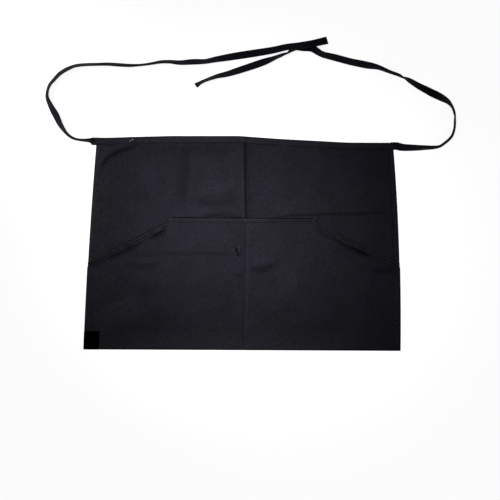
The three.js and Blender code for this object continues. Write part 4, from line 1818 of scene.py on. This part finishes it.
    def sewing(self, finishes: Finishes) -> Piece:
        """Stitches along the hems, down the divider and up the sides.

        Args:
            finishes: the materials.

        Returns:
            The piece.
        """
        rows = Stitches("pocket_stitches")
        left, right = LAID.corners()
        u = np.linspace(left + 0.004, right - 0.004, 260)
        v = LAID.pocket_edge(u) - LAID.hem_depth(u) + self.hem_row / LAID.length
        rows.sew(self.skin(u, v, self.hem - 0.0005))
        for start, end in ((0.003, left), (right, 0.997)):
            u = np.linspace(start, end, 260)
            for down in self.mouth_rows:
                v = LAID.pocket_edge(u) - LAID.hem_depth(u) * down
                turn, uneven = self.pucker_wave(u, down)
                lift = self.pucker * math.sin(math.pi * down) ** 0.7 * uneven * (1 + np.sin(turn))
                rows.sew(self.skin(u, v, self.hem - 0.0009) + np.column_stack([0 * u, 0 * u, lift]))
        v = np.linspace(0.004, (LAID.pocket_top - 0.004) / LAID.length, 400)
        on_hem = ease((v * LAID.length - LAID.pocket_top + LAID.pocket_hem) / 0.001)
        at_divider = np.full(v.shape, LAID.divider())
        divider = self.skin(at_divider, v, 0.0)
        divider[:, 2] += (LAID.layer / 2 + self.cloth / 2 - 0.0007) * (1 - on_hem) + self.hem * on_hem
        rows.sew(divider)
        inset = (LAID.side_hem - STITCH_IN) / LAID.hem_width
        for across in (inset, 1 - inset):
            top = float(LAID.pocket_edge(np.array(across)) - LAID.hem_depth(np.array(across)))
            v = np.linspace(0.003, top, 200)
            rows.sew(self.skin(np.full(v.shape, across), v, LAID.layer / 2 + self.cloth / 2 - 0.0003))
        return rows.build(finishes.thread, "twill")

    def bar_tacks(self, finishes: Finishes) -> Piece:
        """Dense bars of thread at the two corners of the straight opening and over the divider.

        Args:
            finishes: the materials.

        Returns:
            The piece.
        """
        rows = Stitches("pocket_bar_tacks", radius=0.0003)
        left, right = LAID.corners()
        bars = (
            (left, 0.0160, 0.25),
            (left, 0.0120, -1.0),
            (right, 0.0120, -0.35),
            (right, 0.0120, 1.0),
            (LAID.divider(), 0.0070, 0.0),
        )
        for at, reach, slant in bars:
            for step in np.linspace(-0.5, 0.5, 17):
                v = (LAID.pocket_edge(np.array(at)) * LAID.length - 0.0045 + step * reach) / LAID.length
                u = at + np.array([-0.0021, 0.0021]) / LAID.hem_width + slant * step * reach / LAID.hem_width
                line = self.skin(u, np.full(2, float(v)), self.hem + 0.0003)
                line[:, 2] = line[:, 2].max()
                rows.sew(line, pitch=0.0042)
        return rows.build(finishes.tack_thread, "twill")

    def build(self, finishes: Finishes) -> list[Piece]:
        """Makes every piece of the pocket.

        Args:
            finishes: the materials.

        Returns:
            The pieces.
        """
        panel = self.panel(finishes)
        others = [*self.hems(finishes), self.sewing(finishes), self.bar_tacks(finishes)]
        return [panel, *others]


@dataclass
class Label:
    """The small black label sewn on the lower left corner.

    Attributes:
        width: of the label.
        height: of the label.
        thickness: of its weave.
        inset: how far in from its edges it is stitched.
    """

    width: float = 0.033
    height: float = 0.041
    thickness: float = 0.0009
    inset: float = 0.0021

    def build(self, finishes: Finishes) -> list[Piece]:
        """Makes the label, a sheet laid along the pocket with its edges turned down, and its stitches.

        Args:
            finishes: the materials.

        Returns:
            The label and its stitches.
        """
        across, rise = (
            stations((0, 1), (0.001, 0.0003), (size - 0.001, 0.0009), (size, 0.0003))
            for size in (self.width, self.height)
        )
        u, v = np.meshgrid(across / LAID.hem_width, rise / LAID.length)
        x, y = LAID.pocket_place(u, v)
        inward = np.minimum(u * LAID.hem_width, self.width - u * LAID.hem_width)
        upward = np.minimum(v * LAID.length, self.height - v * LAID.length)
        edge = np.minimum(inward, upward)
        base = LAID.pocket_under(u, v) + LAID.layer + LAID.gap + self.thickness / 2
        z = base - curl(inward, upward, 0.0007) + 0.0003 * ease(edge / 0.01)
        z += groove(edge - self.inset, 0.0003, 0.0009)
        patch = cloth_piece("corner_label_cloth", np.stack([x, y, z], -1), self.thickness)
        dress(patch, finishes.label, "label_weave", "corner_label")
        rows = Stitches("corner_label_stitches", pitch=0.0024, length=0.0019, radius=0.0002)
        low, right, high = self.inset, self.width - self.inset, self.height - self.inset
        ends = np.array([(low, low), (right, low), (right, high), (low, high), (low, low)])
        for start, end in zip(ends[:-1], ends[1:]):
            line = start + (end - start) * np.linspace(0, 1, 30)[:, None]
            u, v = line[:, 0] / LAID.hem_width, line[:, 1] / LAID.length
            x, y = LAID.pocket_place(u, v)
            z = LAID.pocket_under(u, v) + LAID.layer + LAID.gap + self.thickness - 0.0002
            rows.sew(np.column_stack([x, y, z]))
        sewn = rows.build(finishes.label, "label_weave")
        return [patch, sewn]


@dataclass
class Fleck:
    """A short white thread end caught on the waistband.

    Attributes:
        start: of the thread.
        end: of the thread.
        radius: at its middle.
        height: of its axis.
        bow: how far it bends to one side.
    """

    start: tuple[float, float] = (-0.2545, 0.2285)
    end: tuple[float, float] = (-0.2440, 0.2345)
    radius: float = 0.0005
    height: float = 0.0044
    bow: float = 0.0007

    def build(self, finishes: Finishes) -> Piece:
        """Makes the thread: rings along a slight bow, thickest in the middle.

        Args:
            finishes: the materials.

        Returns:
            The piece.
        """
        along = np.linspace(0, 1, 25)
        turn = np.arange(10) / 10 * 2 * math.pi
        start, end = np.array(self.start), np.array(self.end)
        line = start + (end - start) * along[:, None]
        ahead = (end - start) / np.linalg.norm(end - start)
        beside = np.array([-ahead[1], ahead[0]])
        line = line + beside * self.bow * np.sin(math.pi * along)[:, None]
        thick = self.radius * (0.25 + 0.75 * np.sin(math.pi * along) ** 0.6)
        offset = thick[:, None] * np.cos(turn)
        plan = line[:, None] + offset[..., None] * beside
        z = self.height + thick[:, None] * np.sin(turn)
        piece = tube_piece("thread_fleck", np.concatenate([plan, z[..., None]], axis=-1))
        return dress(piece, finishes.pale_thread, "twill")


@dataclass
class Studio:
    """The camera straight above, the white floor and soft light from the upper left.

    Attributes:
        eye: the camera's place.
        lens: in millimetres.
        sensor: in millimetres.
        key_place: of the large soft light.
        key_aim: where it points.
        key_size: of its square.
        key_spread: how wide its beam opens, in degrees.
        key_power: in watts.
        side_place: of the small light on the left tie.
        side_aim: where it points.
        side_size: of its square.
        side_spread: how wide its beam opens, in degrees.
        side_power: in watts.
        sky: brightness of the surrounding light.
    """

    eye: Place = (0.018, -0.01485, 2.659)
    lens: float = 85.0
    sensor: float = 36.0
    key_place: Place = (-0.654, 0.328, 1.295)
    key_aim: Place = (-0.026, 0.041, 0.0)
    key_size: float = 0.3
    key_spread: float = 30.0
    key_power: float = 0.72
    side_place: Place = (-1.3, 0.9, 1.2)
    side_aim: Place = (-0.49, 0.37, 0.0)
    side_size: float = 0.3
    side_spread: float = 15.0
    side_power: float = 0.15
    sky: float = 0.085

    def camera(self) -> None:
        """Sets the scene's camera, looking straight down with the waistband up."""
        made = bpy.data.cameras.new("camera")
        made.lens = self.lens
        made.sensor_width = self.sensor
        made.clip_end = 50
        eye = bpy.data.objects.new("camera", made)
        eye.location = self.eye
        bpy.context.scene.collection.objects.link(eye)
        bpy.context.scene.camera = eye

    def floor(self) -> None:
        """Lays a wide white floor that stays white in the shadows."""
        reach, low = 4.0, -0.0001
        corners = ((-reach, -reach), (reach, -reach), (reach, reach), (-reach, reach))
        flat = np.array([(x, y, low) for x, y in corners])
        recipe = Recipe("white floor")
        finish = recipe.finish(
            {
                "Base Color": (0.8, 0.8, 0.8, 1),
                "Roughness": 0.9,
                "Specular IOR Level": 0.0,
                "Emission Color": (1, 1, 1, 1),
                "Emission Strength": 0.9,
            }
        )
        ground = mesh_piece("floor", flat, np.array([[0, 1, 2, 3]]))
        ground.data.materials.append(finish)

    def lamp(self, name: str, place: Place, aim: Place, size: float, spread: float, power: float) -> None:
        """Adds a square light.

        Args:
            name: of the light.
            place: of its middle.
            aim: where it points.
            size: of the square.
            spread: how wide its beam opens, in degrees.
            power: in watts.
        """
        made = bpy.data.lights.new(name, "AREA")
        made.shape = "SQUARE"
        made.size = size
        made.spread = math.radians(spread)
        made.energy = power
        made.color = (1.0, 0.985, 1.0)
        light = bpy.data.objects.new(name, made)
        light.location = place
        away = np.array(place) - np.array(aim)
        tilt = math.atan2(math.hypot(away[0], away[1]), away[2])
        light.rotation_euler = (tilt, 0, math.atan2(away[0], -away[1]))
        bpy.context.scene.collection.objects.link(light)

    def lights(self) -> None:
        """Adds the soft light, the small one on the left tie and an even sky."""
        self.lamp("key", self.key_place, self.key_aim, self.key_size, self.key_spread, self.key_power)
        self.lamp("side", self.side_place, self.side_aim, self.side_size, self.side_spread, self.side_power)
        world = bpy.data.worlds.new("sky")
        world.use_nodes = True
        backdrop = world.node_tree.nodes["Background"]
        backdrop.inputs["Color"].default_value = (1.0, 1.0, 1.0, 1)
        backdrop.inputs["Strength"].default_value = self.sky
        bpy.context.scene.world = world

    def build(self) -> None:
        """Sets up the camera, the floor and the light."""
        self.camera()
        self.floor()
        self.lights()
        bpy.context.scene.view_settings.view_transform = "Standard"


def main() -> None:
    """Builds the camera and the ties first, then the cloths from the lowest up, and reports each piece."""
    logging.basicConfig(level=logging.INFO, format="%(message)s")
    Studio().build()
    finishes = Finishes()
    pieces = [
        *Tie("left_tie", LEFT_ROUTE, 0.0, -1, painted_light=0.6).build(finishes),
        *Tie("right_tie", RIGHT_ROUTE, 1.0, 1, seed=12).build(finishes),
        *Body().build(finishes),
        *Pocket().build(finishes),
        *Label().build(finishes),
        Fleck().build(finishes),
    ]
    corners = sum(len(piece.data.loops) - 2 * len(piece.data.polygons) for piece in pieces)
    log.info("%d pieces, %d triangles", len(pieces), corners)


if __name__ == "__main__":
    main()
